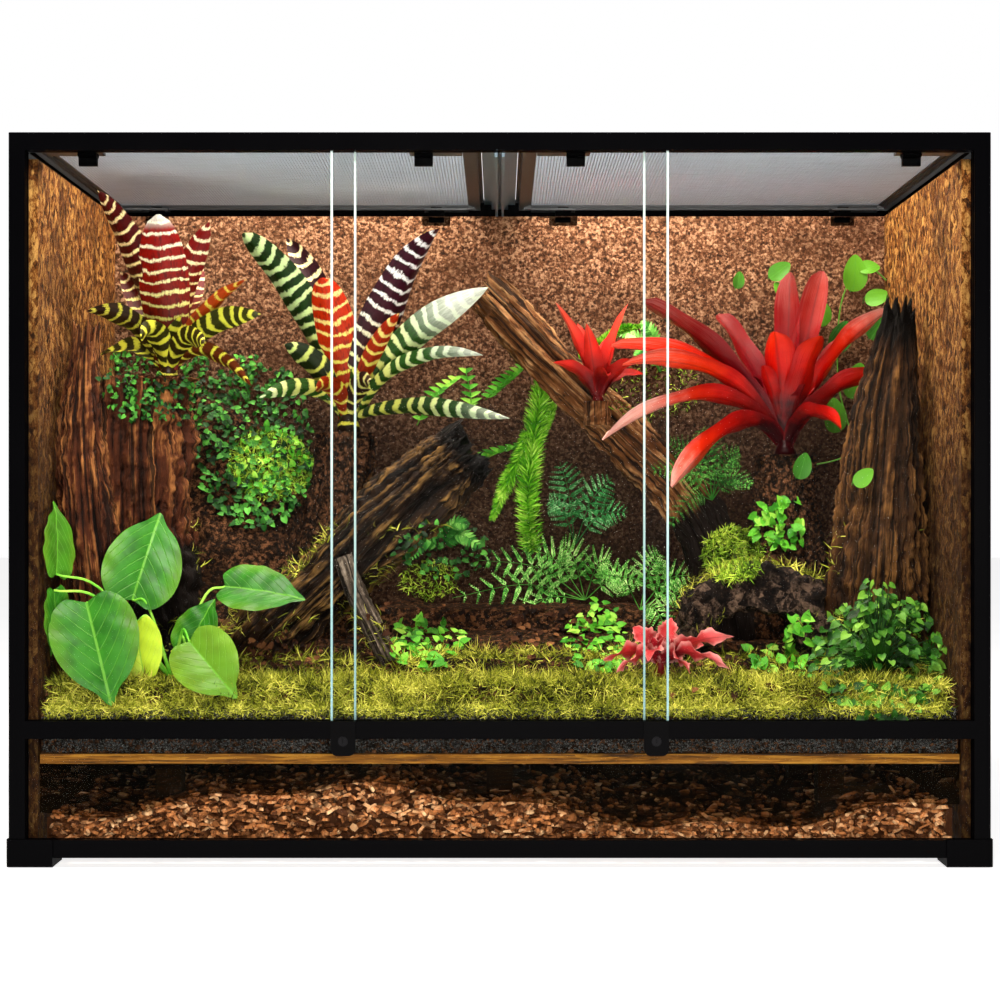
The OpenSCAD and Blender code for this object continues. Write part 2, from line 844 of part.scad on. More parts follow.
module bromeliad_left() {
    color([0.55, 0.25, 0.2]) rosette(LEFT_SEAT, [
        [-92, -20, 240, 38, 150], [-9, -34, 206, 66, 90], [56, -6, 200, 34, 140],
        [111, -44, 119, 28, 75], [131, -60, 71, 32, 75], [-98, -62, 75, 34, 80],
        [118, -50, -24, 26, 60], [-76, 64, 140, 34, 80], [34, 84, 150, 36, 90],
        [-100, 24, 20, 32, 50], [62, -100, 30, 30, 60], [-24, -84, 40, 34, 66]], 22, 24);
}

module bromeliad_tall() {
    color([0.4, 0.3, 0.3]) rosette(TALL_SEAT, [
        [-148, -20, 261, 44, 165], [-34, -50, 196, 54, 115], [112, 20, 272, 38, 170],
        [130, -50, 264, 58, 150], [198, -40, 184, 40, 120], [191, -70, 87, 24, 110],
        [76, -80, 145, 26, 90], [-92, 40, 262, 40, 190], [-121, -50, 29, 26, 70],
        [-89, -20, 106, 38, 80], [228, -60, 0, 26, 34], [-40, -84, 40, 30, 60],
        [36, -90, 50, 30, 60], [44, 92, 190, 38, 100], [-60, 70, 180, 38, 100]], 27, 33);
}

module bromeliad_red() {
    color([0.55, 0.08, 0.1]) rosette(RED_SEAT, [
        [146, -10, 190, 36, 130], [132, -56, 100, 36, 84], [-21, -48, 157, 42, 80],
        [42, -60, 150, 40, 84], [-205, -46, 199, 38, 124], [-250, -70, 136, 38, 136],
        [-236, -104, 107, 36, 140], [-262, -90, 5, 38, 128], [-170, -120, -60, 38, 80],
        [57, 30, 250, 36, 104], [14, 50, 250, 34, 110], [-90, 60, 190, 34, 110],
        [90, 36, 150, 34, 90], [60, -120, 20, 34, 70]], 24, 26);
}

module bromeliad_small() {
    color([0.6, 0.12, 0.1]) rosette(SMALL_SEAT, [
        [-60, -8, 130, 26, 66], [-18, -40, 98, 26, 50], [43, 10, 130, 26, 70],
        [-64, -36, 44, 24, 40], [54, -46, 46, 24, 40], [20, 50, 90, 24, 56],
        [-28, 30, 104, 22, 60], [10, -66, 24, 22, 40], [66, 10, 30, 22, 36]], 13, 14);
}

module earth_star() {
    color([0.75, 0.25, 0.35]) rosette([206, -196, TERRACE[0][2]], [
        [-74, -20, 4, 26, 26], [-60, -62, -8, 26, 26], [-34, 20, 44, 24, 34],
        [18, 30, 56, 24, 34], [94, -10, 34, 24, 34], [84, -50, -4, 24, 30],
        [34, -56, -10, 26, 26], [-20, -62, 6, 24, 34], [60, 36, 20, 22, 30]], 13, 44);
}

// A heart leaf hangs from its stalk with its tip down: [x, y, z, width, length, heading, tilt]
function heart(w, l) = [for (i = [0 : 13]) let (t = 360 * i / 14)
    [w / 2 * sin(t) * (1 + 0.12 * cos(t)),
        l * (0.5 * cos(t) - 0.38 + (abs(sin(t / 2)) < 0.1 ? -0.1 : 0) - (i == 7 ? 0.14 : 0))]];

module heart_leaf(p, root) {
    rotate_to = [90 - p[6], 0, p[5]];
    translate([p[0], p[1], p[2]]) rotate(rotate_to) translate([0, 0, -0.8])
        linear_extrude(1.6) polygon(heart(p[3], p[4]));
    hull() {
        translate(root) sphere(2.6, $fn = 5);
        translate([p[0], p[1], p[2]]) sphere(1.8, $fn = 5);
    }
}

module philodendron() {
    root = [-420, -196, TERRACE[0][2]];
    color([0.35, 0.6, 0.15]) {
        translate(root) cylinder(r = 12, h = 12, $fn = 8);
        for (p = [[-458, -206, 430, 101, 112, 12, 24], [-306, -206, 372, 98, 70, -20, 40],
            [-508, -262, 322, 96, 120, 8, 6], [-452, -232, 312, 58, 78, -6, 20],
            [-386, -222, 320, 60, 62, -12, 30], [-372, -240, 284, 84, 62, -16, 40],
            [-526, -180, 410, 50, 84, 50, 12], [-340, -170, 310, 60, 60, -40, 50]])
            heart_leaf(p, root + [0, 0, 8]);
    }
}

module creeping_fig() {
    root = [486, -196, TERRACE[0][2]];
    color([0.15, 0.4, 0.12]) {
        translate(root) cylinder(r = 14, h = 12, $fn = 8);
        for (i = [0 : 11])
            let (turn = i * 137.5, reach = 26 + i * 4.8, lift = 118 - i * 7)
            heart_leaf([root[0] + reach * cos(turn), root[1] + 0.62 * reach * sin(turn),
                root[2] + lift, 34, 38, 30 * sin(turn), 44], root + [0, 0, 8]);
    }
}

base_rail_front();
base_rail_rear();
base_rails_side();
corner_feet();
foot_pads();
posts_front();
posts_rear();
top_corners();
top_rail_front();
top_rail_rear();
top_rails_side();
mid_rail();
centre_beam();
bottom_glass();
left_glass();
right_glass();
back_glass();
front_window();
door_left();
door_middle();
door_right();
door_left_seal();
door_middle_seals();
door_right_seal();
lock_body_left();
lock_body_right();
lock_cylinder_left();
lock_cylinder_right();
screen_frame_left();
screen_frame_right();
screen_corners_left();
screen_corners_right();
screen_net_left();
screen_net_right();
latch_front_1();
latch_front_2();
latch_front_3();
latch_front_4();
latch_rear_1();
latch_rear_2();
latch_rear_3();
latch_rear_4();
cork_back();
cork_sides();
wood_chips();
water();
false_bottom();
soil();
root_bank();
driftwood_trunk();
leaning_log();
cork_stumps();
cave_rock();
bromeliad_left();
bromeliad_tall();
bromeliad_red();
bromeliad_small();
earth_star();
philodendron();
creeping_fig();
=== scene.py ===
"""Dresses a planted glass terrarium round its CAD frame and lights it in a plain studio.

Lengths in the tables are millimetres in the frame's axes: X to the right, Y to the rear, Z up.
"""

from __future__ import annotations

import logging
import math
import random
from dataclasses import dataclass, field
from enum import Enum
from typing import Callable, Iterable, Sequence

import bmesh
import bpy
from mathutils import Matrix, Vector, noise
from mathutils.bvhtree import BVHTree

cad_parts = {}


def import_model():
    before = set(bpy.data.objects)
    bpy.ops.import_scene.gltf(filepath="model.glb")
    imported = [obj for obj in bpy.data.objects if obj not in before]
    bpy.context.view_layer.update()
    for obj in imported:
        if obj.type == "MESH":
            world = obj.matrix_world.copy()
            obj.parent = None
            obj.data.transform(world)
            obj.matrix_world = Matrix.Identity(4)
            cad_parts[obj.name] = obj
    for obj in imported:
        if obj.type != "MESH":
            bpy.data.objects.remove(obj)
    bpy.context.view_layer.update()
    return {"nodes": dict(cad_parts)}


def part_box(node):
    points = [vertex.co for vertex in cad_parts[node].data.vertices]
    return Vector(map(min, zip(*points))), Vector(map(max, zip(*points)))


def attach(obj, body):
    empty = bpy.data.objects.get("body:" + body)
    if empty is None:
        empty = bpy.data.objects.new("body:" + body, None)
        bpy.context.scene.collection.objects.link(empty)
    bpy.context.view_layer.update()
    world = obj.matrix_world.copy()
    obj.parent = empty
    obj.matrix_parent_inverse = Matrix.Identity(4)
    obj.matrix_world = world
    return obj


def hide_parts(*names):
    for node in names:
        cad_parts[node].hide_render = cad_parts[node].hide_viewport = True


LOG = logging.getLogger("terrarium")
MM = 0.001
GOLDEN = math.radians(137.508)
UP = Vector((0, 0, 1))
SPOT = "spot"
TONE = "tone"

Colour = tuple[float, float, float, float]
Row = Sequence[float]


def mm(*values: float) -> Vector:
    """A vector in metres from millimetres."""
    return Vector(values) * MM


def tint(code: str) -> Colour:
    """A linear colour from six hex digits as seen on a screen."""
    shown = [int(code[i:i + 2], 16) / 255 for i in (0, 2, 4)]
    r, g, b = (c / 12.92 if c < 0.04045 else ((c + 0.055) / 1.055) ** 2.4 for c in shown)
    return (r, g, b, 1.0)


def ease(t: float) -> float:
    """A smooth step from 0 to 1."""
    t = min(1.0, max(0.0, t))
    return t * t * (3 - 2 * t)


# Shader maths


class Wire:
    """A shader socket whose sums add Math nodes."""

    def __init__(self, shader: Shader, socket: bpy.types.NodeSocket) -> None:
        """Keeps the socket and the shader it belongs to."""
        self.shader, self.socket = shader, socket

    def __add__(self, other: Wire | float) -> Wire:
        """This value plus another."""
        return self.shader.math("ADD", self, other)

    def __sub__(self, other: Wire | float) -> Wire:
        """This value less another."""
        return self.shader.math("SUBTRACT", self, other)

    def __rsub__(self, other: Wire | float) -> Wire:
        """Another value less this one."""
        return self.shader.math("SUBTRACT", other, self)

    def __mul__(self, other: Wire | float) -> Wire:
        """This value times another."""
        return self.shader.math("MULTIPLY", self, other)

    def __pow__(self, other: Wire | float) -> Wire:
        """This value to a power."""
        return self.shader.math("POWER", self, other)

    __radd__ = __add__
    __rmul__ = __mul__

    def step(self, low: float, high: float) -> Wire:
        """0 below low, 1 above high and smooth in between."""
        made = self.shader.node("ShaderNodeMapRange", {"interpolation_type": "SMOOTHSTEP"},
                                {"Value": self, "From Min": low, "From Max": high})
        return Wire(self.shader, made.outputs[0])


class Shader:
    """One material, written node by node."""

    def __init__(self, name: str) -> None:
        """Starts an empty material of that name."""
        self.material = bpy.data.materials.new(name)
        self.material.use_nodes = True
        self.tree = self.material.node_tree
        self.tree.nodes.clear()

    def node(self, kind: str, settings: dict | None = None, inputs: dict | None = None) -> bpy.types.Node:
        """Adds a node.

        Args:
            kind: The node's type.
            settings: Its settings, set first. stops are a ramp's places and colours.
            inputs: Values or wires by socket name or number.

        Returns:
            The new node.
        """
        made = self.tree.nodes.new(kind)
        for key, value in (settings or {}).items():
            if key == "stops":
                ramp = made.color_ramp.elements
                while len(ramp) < len(value):
                    ramp.new(0.5)
                for stop, (place, colour) in zip(ramp, value):
                    stop.position, stop.color = place, colour
            else:
                setattr(made, key, value)
        for key, value in (inputs or {}).items():
            if isinstance(value, Wire):
                self.tree.links.new(value.socket, made.inputs[key])
            else:
                made.inputs[key].default_value = value
        return made

    def wire(self, made: bpy.types.Node, output: str | int = 0) -> Wire:
        """One output of a node as a wire."""
        return Wire(self, made.outputs[output])

    def math(self, operation: str, a: Wire | float, b: Wire | float = 0.0) -> Wire:
        """The Math node of that operation on two values."""
        return self.wire(self.node("ShaderNodeMath", {"operation": operation}, {0: a, 1: b}))

    def place(self, stretch: Row = (1, 1, 1)) -> Wire:
        """The point on the piece in metres, stretched along the axes."""
        at = self.wire(self.node("ShaderNodeTexCoord"), "Object")
        return self.times(at, stretch)

    def spot(self, stretch: Row = (1, 1, 1)) -> Wire:
        """The piece's own leaf or grain coordinates, stretched."""
        at = self.wire(self.node("ShaderNodeUVMap", {"uv_map": SPOT}))
        return self.times(at, stretch)

    def times(self, vector: Wire, by: Row) -> Wire:
        """A vector times another, axis by axis."""
        if tuple(by) == (1, 1, 1):
            return vector
        return self.wire(self.node("ShaderNodeVectorMath", {"operation": "MULTIPLY"}, {0: vector, 1: by}))

    def axes(self, vector: Wire) -> list[Wire]:
        """The three parts of a vector."""
        made = self.node("ShaderNodeSeparateXYZ", None, {0: vector})
        return [self.wire(made, i) for i in range(3)]

    def tone(self) -> Wire:
        """The number that each leaf, chip or strand carries."""
        return self.wire(self.node("ShaderNodeAttribute", {"attribute_name": TONE}), "Fac")

    def noise(self, at: Wire, scale: float, detail: float = 3, rough: float = 0.5, twist: float = 0.0) -> Wire:
        """Cloud noise, 0 to 1."""
        return self.wire(self.node("ShaderNodeTexNoise", None, {
            "Vector": at, "Scale": scale, "Detail": detail, "Roughness": rough, "Distortion": twist}), 0)

    def cells(self, at: Wire, scale: float, output: str = "Distance") -> Wire:
        """Cell noise: the distance to a grain's middle, or each grain's own colour."""
        return self.wire(self.node("ShaderNodeTexVoronoi", None, {"Vector": at, "Scale": scale}), output)

    def ramp(self, value: Wire, *stops: tuple[float, str]) -> Wire:
        """A colour by value from places and hex colours."""
        made = [(place, tint(code)) for place, code in stops]
        return self.wire(self.node("ShaderNodeValToRGB", {"stops": made}, {0: value}))

    def mix(self, a: Wire | Colour, b: Wire | Colour, amount: Wire | float, blend: str = "MIX") -> Wire:
        """Two colours blended by an amount."""
        settings = {"data_type": "RGBA", "blend_type": blend, "clamp_factor": True}
        return self.wire(self.node("ShaderNodeMix", settings, {0: amount, 6: a, 7: b}), 2)

    def bump(self, height: Wire, depth: float, strength: float = 1.0) -> Wire:
        """A normal from a height of 0 to 1 that stands for depth in metres."""
        return self.wire(self.node("ShaderNodeBump", None, {
            "Height": height, "Distance": depth, "Strength": strength}))

    def surface(self, **inputs: Wire | float | Colour) -> bpy.types.Material:
        """Ends the material with a Principled surface whose sockets are given by name."""
        named = {key.replace("_", " "): value for key, value in inputs.items()}
        made = self.node("ShaderNodeBsdfPrincipled", None, named)
        out = self.node("ShaderNodeOutputMaterial")
        self.tree.links.new(made.outputs[0], out.inputs[0])
        return self.material


class Finish:
    """A finish that makes its material once."""

    _made: dict[str, bpy.types.Material] = {}

    def write(self, shader: Shader) -> bpy.types.Material:
        """Writes the nodes. Each finish has its own."""
        raise NotImplementedError

    def material(self) -> bpy.types.Material:
        """The finish's material, made on first use."""
        name = getattr(self, "name", type(self).__name__)
        if name not in Finish._made:
            Finish._made[name] = self.write(Shader(name))
        return Finish._made[name]


@dataclass(frozen=True)
class BlackSatin(Finish):
    """Black coated metal or moulded plastic with a fine grain."""

    name: str = "black_satin"
    colour: str = "020203"
    grain: float = 900.0
    depth: float = 0.00012
    rough: float = 0.42
    draw: Row = (1, 1, 1)
    metallic: float = 0.0
    specular: float = 0.018

    def write(self, shader: Shader) -> bpy.types.Material:
        """Grain and faint handling marks over a dark colour."""
        grain = shader.noise(shader.place(self.draw), self.grain, 2)
        wear = shader.noise(shader.place(), 14, 4)
        base = shader.mix(tint(self.colour), tint("070708"), (wear * grain).step(0.3, 0.75) * 0.35)
        return shader.surface(
            Base_Color=base, Roughness=self.rough + (wear - 0.5) * 0.16, Metallic=self.metallic,
            Specular_IOR_Level=self.specular, Normal=shader.bump(grain, self.depth, 0.5))


@dataclass(frozen=True)
class DrawnMetal(Finish):
    """Anodised metal with fine lines along its length."""

    name: str = "drawn_metal"
    colour: str = "56585b"
    along: Row = (1, 60, 60)
    rough: float = 0.36

    def write(self, shader: Shader) -> bpy.types.Material:
        """Drawn lines in tone, gloss and relief."""
        lines = shader.noise(shader.place(self.along), 25, 3)
        base = shader.mix(tint(self.colour), tint("8d9094"), lines.step(0.45, 0.75) * 0.4)
        return shader.surface(Base_Color=base, Metallic=0.75, Roughness=self.rough + lines * 0.14,
                              Normal=shader.bump(lines, 0.0001, 0.4))


class Face(Enum):
    """The axis that a pane's large faces look along."""

    SIDE = 0
    FRONT = 1
    FLOOR = 2


@dataclass(frozen=True)
class Glass(Finish):
    """Clear float glass whose pale cut edges carry a painted glow."""

    name: str = "glass_front"
    face: Face = Face.FRONT
    # edge colours the cut edges and their painted glow.
    edge: str = "e6f4f0"

    def write(self, shader: Shader) -> bpy.types.Material:
        """Clear by Fresnel on the faces, pale and dense on the cut edges, which carry a painted glow in streaks."""
        parts = shader.axes(shader.wire(shader.node("ShaderNodeTexCoord"), "Normal"))
        flat = shader.math("ABSOLUTE", parts[self.face.value])
        cut = 1 - flat.step(0.3, 0.7)
        streak = shader.noise(shader.place((1, 1, 6)), 60, 2)
        gloss = shader.wire(shader.node("ShaderNodeFresnel", None, {"IOR": 1.2}))
        amount = shader.math("MAXIMUM", gloss * 0.5, cut * (0.7 + streak * 0.25))
        body = shader.node("ShaderNodeBsdfPrincipled", None, {
            "Base Color": shader.mix((0, 0, 0, 1), tint(self.edge), cut),
            "Roughness": 0.04 + cut * 0.2,
            # Painted glow: the cut edges emit light in streaks, standing for the light that glass gathers at its edges.
            "Emission Color": shader.mix((0, 0, 0, 1), tint(self.edge), cut * streak),
            "Emission Strength": 0.35})
        clear = shader.node("ShaderNodeBsdfTransparent", None, {"Color": (0.985, 0.992, 0.988, 1)})
        both = shader.node("ShaderNodeMixShader", None, {
            0: amount, 1: shader.wire(clear), 2: shader.wire(body)})
        shader.node("ShaderNodeOutputMaterial", None, {0: shader.wire(both)})
        return shader.material


@dataclass(frozen=True)
class Water(Finish):
    """Still water over dark ground."""

    name: str = "water"

    def write(self, shader: Shader) -> bpy.types.Material:
        """Mostly clear, a little brown, with a rippled gloss."""
        ripple = shader.noise(shader.place((1, 2, 1)), 16, 2)
        body = shader.node("ShaderNodeBsdfPrincipled", None, {
            "Base Color": shader.mix(tint("1a140c"), tint("33291a"), ripple),
            "Roughness": 0.05, "Normal": shader.bump(ripple, 0.0015, 0.4)})
        clear = shader.node("ShaderNodeBsdfTransparent", None, {"Color": tint("dcd2c2")})
        gloss = shader.wire(shader.node("ShaderNodeFresnel", None, {"IOR": 1.25}))
        both = shader.node("ShaderNodeMixShader", None, {
            0: gloss * 0.7 + ripple * 0.04, 1: shader.wire(clear), 2: shader.wire(body)})
        shader.node("ShaderNodeOutputMaterial", None, {0: shader.wire(both)})
        return shader.material


@dataclass(frozen=True)
class SealStrip(Finish):
    """Clear rubber lip along a pane's edge, with a painted white highlight."""

    name: str = "seal_strip"

    def write(self, shader: Shader) -> bpy.types.Material:
        """A painted highlight, white at the top and fading to sea green further down, with a slow change along the
        strip.
        """
        glow = shader.noise(shader.place(), 9, 2)
        # Painted highlight: the strip turns whiter with height, as if lit from above.
        high = shader.axes(shader.place())[2] + glow * 0.2
        white = shader.mix(tint("86b0b4"), tint("c8dcda"), high.step(0.4, 0.75))
        return shader.surface(Base_Color=white, Roughness=0.25 + glow * 0.1, Alpha=0.62 + glow * 0.2)


@dataclass(frozen=True)
class Granulate(Finish):
    """Pressed cork or soil of many small crumbs, with painted shade that darkens it towards the ground."""

    name: str = "cork"
    dark: str = "2a170e"
    middle: str = "8a5a38"
    light: str = "d09a6a"
    crumb: float = 125.0
    depth: float = 0.004
    shade: str = "5a3420"
    # low colours the painted shade towards the ground.
    low: str = "1e120a"
    span: tuple[float, float] = (0.0, 0.01)
    stretch: Row = (1, 1, 1)
    drift: float = 0.26

    def write(self, shader: Shader) -> bpy.types.Material:
        """Crumbs of three browns with painted shade in the gaps between them, over slow patches."""
        at = shader.place(self.stretch)
        coarse = shader.noise(at, self.crumb, 6, 0.82)
        own = shader.axes(shader.cells(at, self.crumb * 1.7, "Color"))[0]
        gap = shader.cells(at, self.crumb * 1.7)
        fine = shader.noise(at, self.crumb * 6, 4, 0.8)
        patch = shader.noise(shader.place(), 9, 6, 0.7)
        value = coarse * 0.62 + fine * 0.3 + own * 0.16
        base = shader.ramp(value, (0.43, self.dark), (0.54, self.middle), (0.66, self.light))
        base = shader.mix(base, tint(self.shade), patch.step(0.45, 0.68) * 0.7)
        flake = shader.cells(at, self.crumb * 0.8, "Color")
        chips = shader.axes(flake)[1] - shader.cells(at, self.crumb * 0.8) * 0.9
        base = shader.mix(base, tint(self.light), chips.step(0.6, 0.72) * (0.35 + own * 0.5))
        # Painted shade: the low parts of the crumbs, which the bump sinks, turn dark.
        base = shader.mix(tint(self.dark), base, coarse.step(0.34, 0.47) * 0.85 + 0.15)
        # Painted shade: below the span of heights the colour darkens to low, as the light from above falls off.
        rise = shader.axes(shader.place())[2] + (patch - 0.5) * self.drift
        base = shader.mix(tint(self.low), base, rise.step(*self.span) * 0.85 + 0.15)
        height = coarse * 0.6 + fine * 0.25 + (1 - gap) * 0.25
        return shader.surface(Base_Color=base, Roughness=0.62 + own * 0.3, Specular_IOR_Level=0.12,
                              Normal=shader.bump(height, self.depth, 1.0))


@dataclass(frozen=True)
class Timber(Finish):
    """Weathered wood whose fibres run along the piece."""

    name: str = "timber"
    dark: str = "1c120c"
    middle: str = "5a3420"
    light: str = "9a6238"
    depth: float = 0.006
    gloss: float = 0.75

    def write(self, shader: Shader) -> bpy.types.Material:
        """Long torn fibres in colour and relief, with painted shade in the splits and holes, and pale ridges, partly
        painted light.
        """
        grain = shader.noise(shader.spot((30, 3, 1)), 3.2, 8, 0.72, 0.06)
        fibre = shader.noise(shader.spot((190, 10, 1)), 2.6, 5, 0.7)
        split = shader.noise(shader.spot((60, 2.2, 1)), 2.0, 4, 0.6, 0.12)
        patch = shader.noise(shader.place(), 24, 6, 0.7)
        # On logs the tone carries painted light on raised fibres and painted shade in the grooves.
        value = grain * 0.3 + fibre * 0.22 + patch * 0.2 + shader.tone() * 0.28
        base = shader.ramp(value, (0.4, self.dark), (0.54, self.middle), (0.7, self.light))
        hole = shader.noise(shader.spot((28, 11, 1)), 2.4, 4, 0.6)
        crack = split.step(0.4, 0.49) * (hole.step(0.33, 0.42) * 0.9 + 0.1)
        # Painted shade: the splits and holes, which the bump sinks, turn dark.
        base = shader.mix(tint(self.dark), base, crack * 0.88 + 0.12)
        height = grain * 0.4 + fibre * 0.2 + crack * 0.3 + patch * 0.2
        return shader.surface(Base_Color=base, Roughness=self.gloss + fibre * 0.15, Specular_IOR_Level=0.14,
                              Normal=shader.bump(height, self.depth, 1.0))


@dataclass(frozen=True)
class BandedLeaf(Finish):
    """Strap leaf with pale cross bands that yellow towards its base."""

    name: str = "banded_leaf"
    stops: tuple[tuple[float, str], ...] = (
        (0.0, "860a04"), (0.3, "2a0406"), (0.5, "c84408"), (0.75, "341a08"), (1.0, "3c4a0a"))
    pale: tuple[tuple[float, str], ...] = ((0.0, "fff2d4"), (0.5, "ffe060"), (1.0, "dce44c"))
    pitch: float = 0.0155
    share: float = 0.62
    root: str = "d3d33c"
    root_dark: str = "201e08"
    reach: float = 0.19
    crest: tuple[float, float] = (0.186, 0.206)

    def write(self, shader: Shader) -> bpy.types.Material:
        """Wavering bands across the leaf, over a colour that each leaf picks."""
        across, along, _ = shader.axes(shader.spot())
        tone = shader.tone()
        sway = shader.noise(shader.place(), 24, 4, 0.6)
        streak = shader.noise(shader.spot((11, 26, 1)), 1.8, 5, 0.75)
        speck = shader.noise(shader.place(), 900, 3)
        wave = shader.math("SINE", (along * (2 * math.pi / self.pitch)) + (sway * 9.0) - across * across * 2.0)
        level = wave + (streak - 0.5) * 2.9 + (speck - 0.5) * 1.5 + tone.step(0.76, 0.84) * 0.35
        band = level.step(self.share, self.share + 0.24)
        low = 1 - along.step(self.reach * 0.25, self.reach)
        ground = shader.mix(shader.ramp(tone, *self.stops), tint(self.root_dark), low * 0.45)
        blotch = shader.noise(shader.spot((5, 34, 1)), 1.3, 4, 0.7)
        dark = shader.math("MAXIMUM", streak.step(0.48, 0.7) * 0.6, blotch.step(0.5, 0.62) * 0.55)
        ground = shader.mix(ground, tint("120406"), dark)
        light = shader.mix(shader.ramp(tone, *self.pale), tint(self.root), low * 0.85)
        base = shader.mix(ground, light, band)
        bleach = along.step(0.14, 0.24) * tone.step(0.86, 0.94) * (streak.step(0.4, 0.6) * 0.4 + 0.55)
        worn = along.step(*self.crest) * (1 - tone.step(0.01, 0.04)) * (streak.step(0.36, 0.5) * 0.7 + 0.2)
        base = shader.mix(base, tint("f2f8ea"), shader.math("MAXIMUM", bleach, worn))
        veins = shader.noise(shader.spot((14, 3, 1)), 2.0, 3)
        return shader.surface(
            Base_Color=base, Roughness=0.32 + veins * 0.16, Specular_IOR_Level=0.14,
            Normal=shader.bump(veins * 0.6 + band * 0.4, 0.0012, 0.6))


@dataclass(frozen=True)
class SoftLeaf(Finish):
    """Leaf that changes colour from its base to its tip, with long veins."""

    name: str = "red_leaf"
    base: str = "2a0206"
    body: str = "c20c02"
    tip: str = "fa3e10"
    frost: str = "ffd0c4"
    vary: str = "4a000c"
    length: float = 0.24
    gloss: float = 0.2
    edge: str = "7a020c"
    pale: float = 0.3
    bleached: tuple[float, float] = (0.48, 0.64)

    def write(self, shader: Shader) -> bpy.types.Material:
        """A run of colour along the leaf, dark at the base, partly painted shade of the crown, with veins, a darker
        margin and a frosted tip.
        """
        across, along, _ = shader.axes(shader.spot())
        mottle = shader.noise(shader.place(), 48, 4)
        tone = shader.tone()
        run = along * (1 / self.length) + (mottle - 0.5) * 0.35
        # The dark base is partly the leaf's own colour and partly painted shade where the leaves crowd at the crown.
        colour = shader.ramp(run, (0.16, self.base), (0.5, self.body), (0.95, self.tip))
        old = tone.step(0.62, 0.9)
        colour = shader.mix(colour, tint(self.vary), old * 0.88)
        vein = shader.noise(shader.spot((7, 5, 1)), 2.6, 4, 0.6)
        side = shader.math("ABSOLUTE", across)
        colour = shader.mix(colour, tint(self.edge), side.step(0.55, 1.0) * 0.5)
        colour = shader.mix(colour, tint(self.base), vein.step(0.55, 0.75) * 0.3)
        frost = run.step(0.72, 1.15) * vein.step(0.4, 0.62) * self.pale * (1 - old * 0.7)
        low, high = self.bleached
        some = tone.step(low - 0.02, low) * (1 - tone.step(high, high + 0.02))
        frost = shader.math("MAXIMUM", frost, some * run.step(0.66, 1.1) * (vein.step(0.35, 0.6) * 0.4 + 0.5))
        colour = shader.mix(colour, tint(self.frost), frost)
        middle = 1 - side.step(0.02, 0.14)
        colour = shader.mix(colour, tint(self.base), middle * 0.35)
        return shader.surface(Base_Color=colour, Roughness=self.gloss + vein * 0.2,
                              Specular_IOR_Level=0.18, Normal=shader.bump(vein, 0.0014, 0.6))


@dataclass(frozen=True)
class HeartLeaf(Finish):
    """Broad leaf with a pale midrib and side veins."""

    name: str = "heart_leaf"
    body: str = "2e7616"
    deep: str = "1f5c10"
    vein: str = "6cae34"
    young: str = "b4d032"
    ribs: float = 7.0

    def write(self, shader: Shader) -> bpy.types.Material:
        """Side veins sweep from the midrib to the margin."""
        across, along, _ = shader.axes(shader.spot())
        side = shader.math("ABSOLUTE", across)
        curve = along * self.ribs + side * side * 1.6 + side * 2.6
        rib = shader.math("ABSOLUTE", shader.math("FRACT", curve) - 0.5)
        lines = 1 - rib.step(0.0, 0.08)
        middle = 1 - side.step(0.015, 0.045)
        mark = shader.math("MAXIMUM", lines * 0.5, middle)
        mottle = shader.noise(shader.place(), 42, 4)
        colour = shader.mix(tint(self.deep), tint(self.body), mottle.step(0.3, 0.62))
        colour = shader.mix(colour, tint(self.young), shader.tone().step(0.3, 1.0))
        colour = shader.mix(colour, tint(self.young), side.step(0.5, 1.0) * 0.12)
        colour = shader.mix(colour, tint(self.vein), mark * 0.6)
        height = (1 - lines) * 0.6 + mottle * 0.4
        return shader.surface(Base_Color=colour, Roughness=0.36 + mottle * 0.1, Specular_IOR_Level=0.25,
                              Normal=shader.bump(height, 0.0014, 0.5))


@dataclass(frozen=True)
class Foliage(Finish):
    """Small leaves, needles and strands, each with a shade of its own."""

    name: str = "moss"
    dark: str = "2f3a12"
    middle: str = "6f7f22"
    light: str = "b3b648"
    rough: float = 0.6

    def write(self, shader: Shader) -> bpy.types.Material:
        """The leaf's own tone with a slow patch of colour over it."""
        patch = shader.noise(shader.place(), 22, 3)
        fine = shader.noise(shader.place(), 420, 2)
        value = shader.tone() * 0.6 + patch.step(0.34, 0.66) * 0.34 + (fine - 0.5) * 0.2
        colour = shader.ramp(value, (0.18, self.dark), (0.5, self.middle), (0.85, self.light))
        return shader.surface(Base_Color=colour, Roughness=self.rough + fine * 0.2, Specular_IOR_Level=0.18,
                              Normal=shader.bump(fine, 0.0005, 0.4))


FRAME_BLACK = BlackSatin("frame_black", draw=(0.15, 1, 1), rough=0.34)
FOOT_BLACK = BlackSatin("foot_black", "020203", 1500, 0.0001, 0.5)
PAD_RUBBER = BlackSatin("pad_rubber", "050505", 600, 0.0002, 0.75)
LATCH_BLACK = BlackSatin("latch_black", "020203", 1200, 0.00008, 0.45)
LOCK_BLACK = BlackSatin("lock_black", "040405", 1000, 0.0001, 0.4)
LOCK_METAL = BlackSatin("lock_metal", "141416", 700, 0.00008, 0.3, metallic=0.6)
CORNER_GREY = BlackSatin("corner_grey", "77797c", 800, 0.0001, 0.5)
SCREEN_METAL = DrawnMetal("screen_metal", "4a4c4f")
BEAM_METAL = DrawnMetal("beam_metal", "8ea4b4", (90, 1, 60))
NET_STEEL = DrawnMetal("net_steel", "bac2d0", rough=0.5)
CORK_BACK = Granulate("cork_back", "28170d", "7e4e30", "e0b08a", 170, 0.007, "4c2c16", "100804", (0.5, 0.9))
CORK_SIDE = Granulate("cork_side", "241206", "965620", "f4b866", 120, 0.009, "4a280e", "180b03",
                      (0.36, 0.98), (1, 1, 0.5))
BANK_SOIL = Granulate("bank_soil", "060402", "2a180b", "86593a", 130, 0.009, "0e0804")
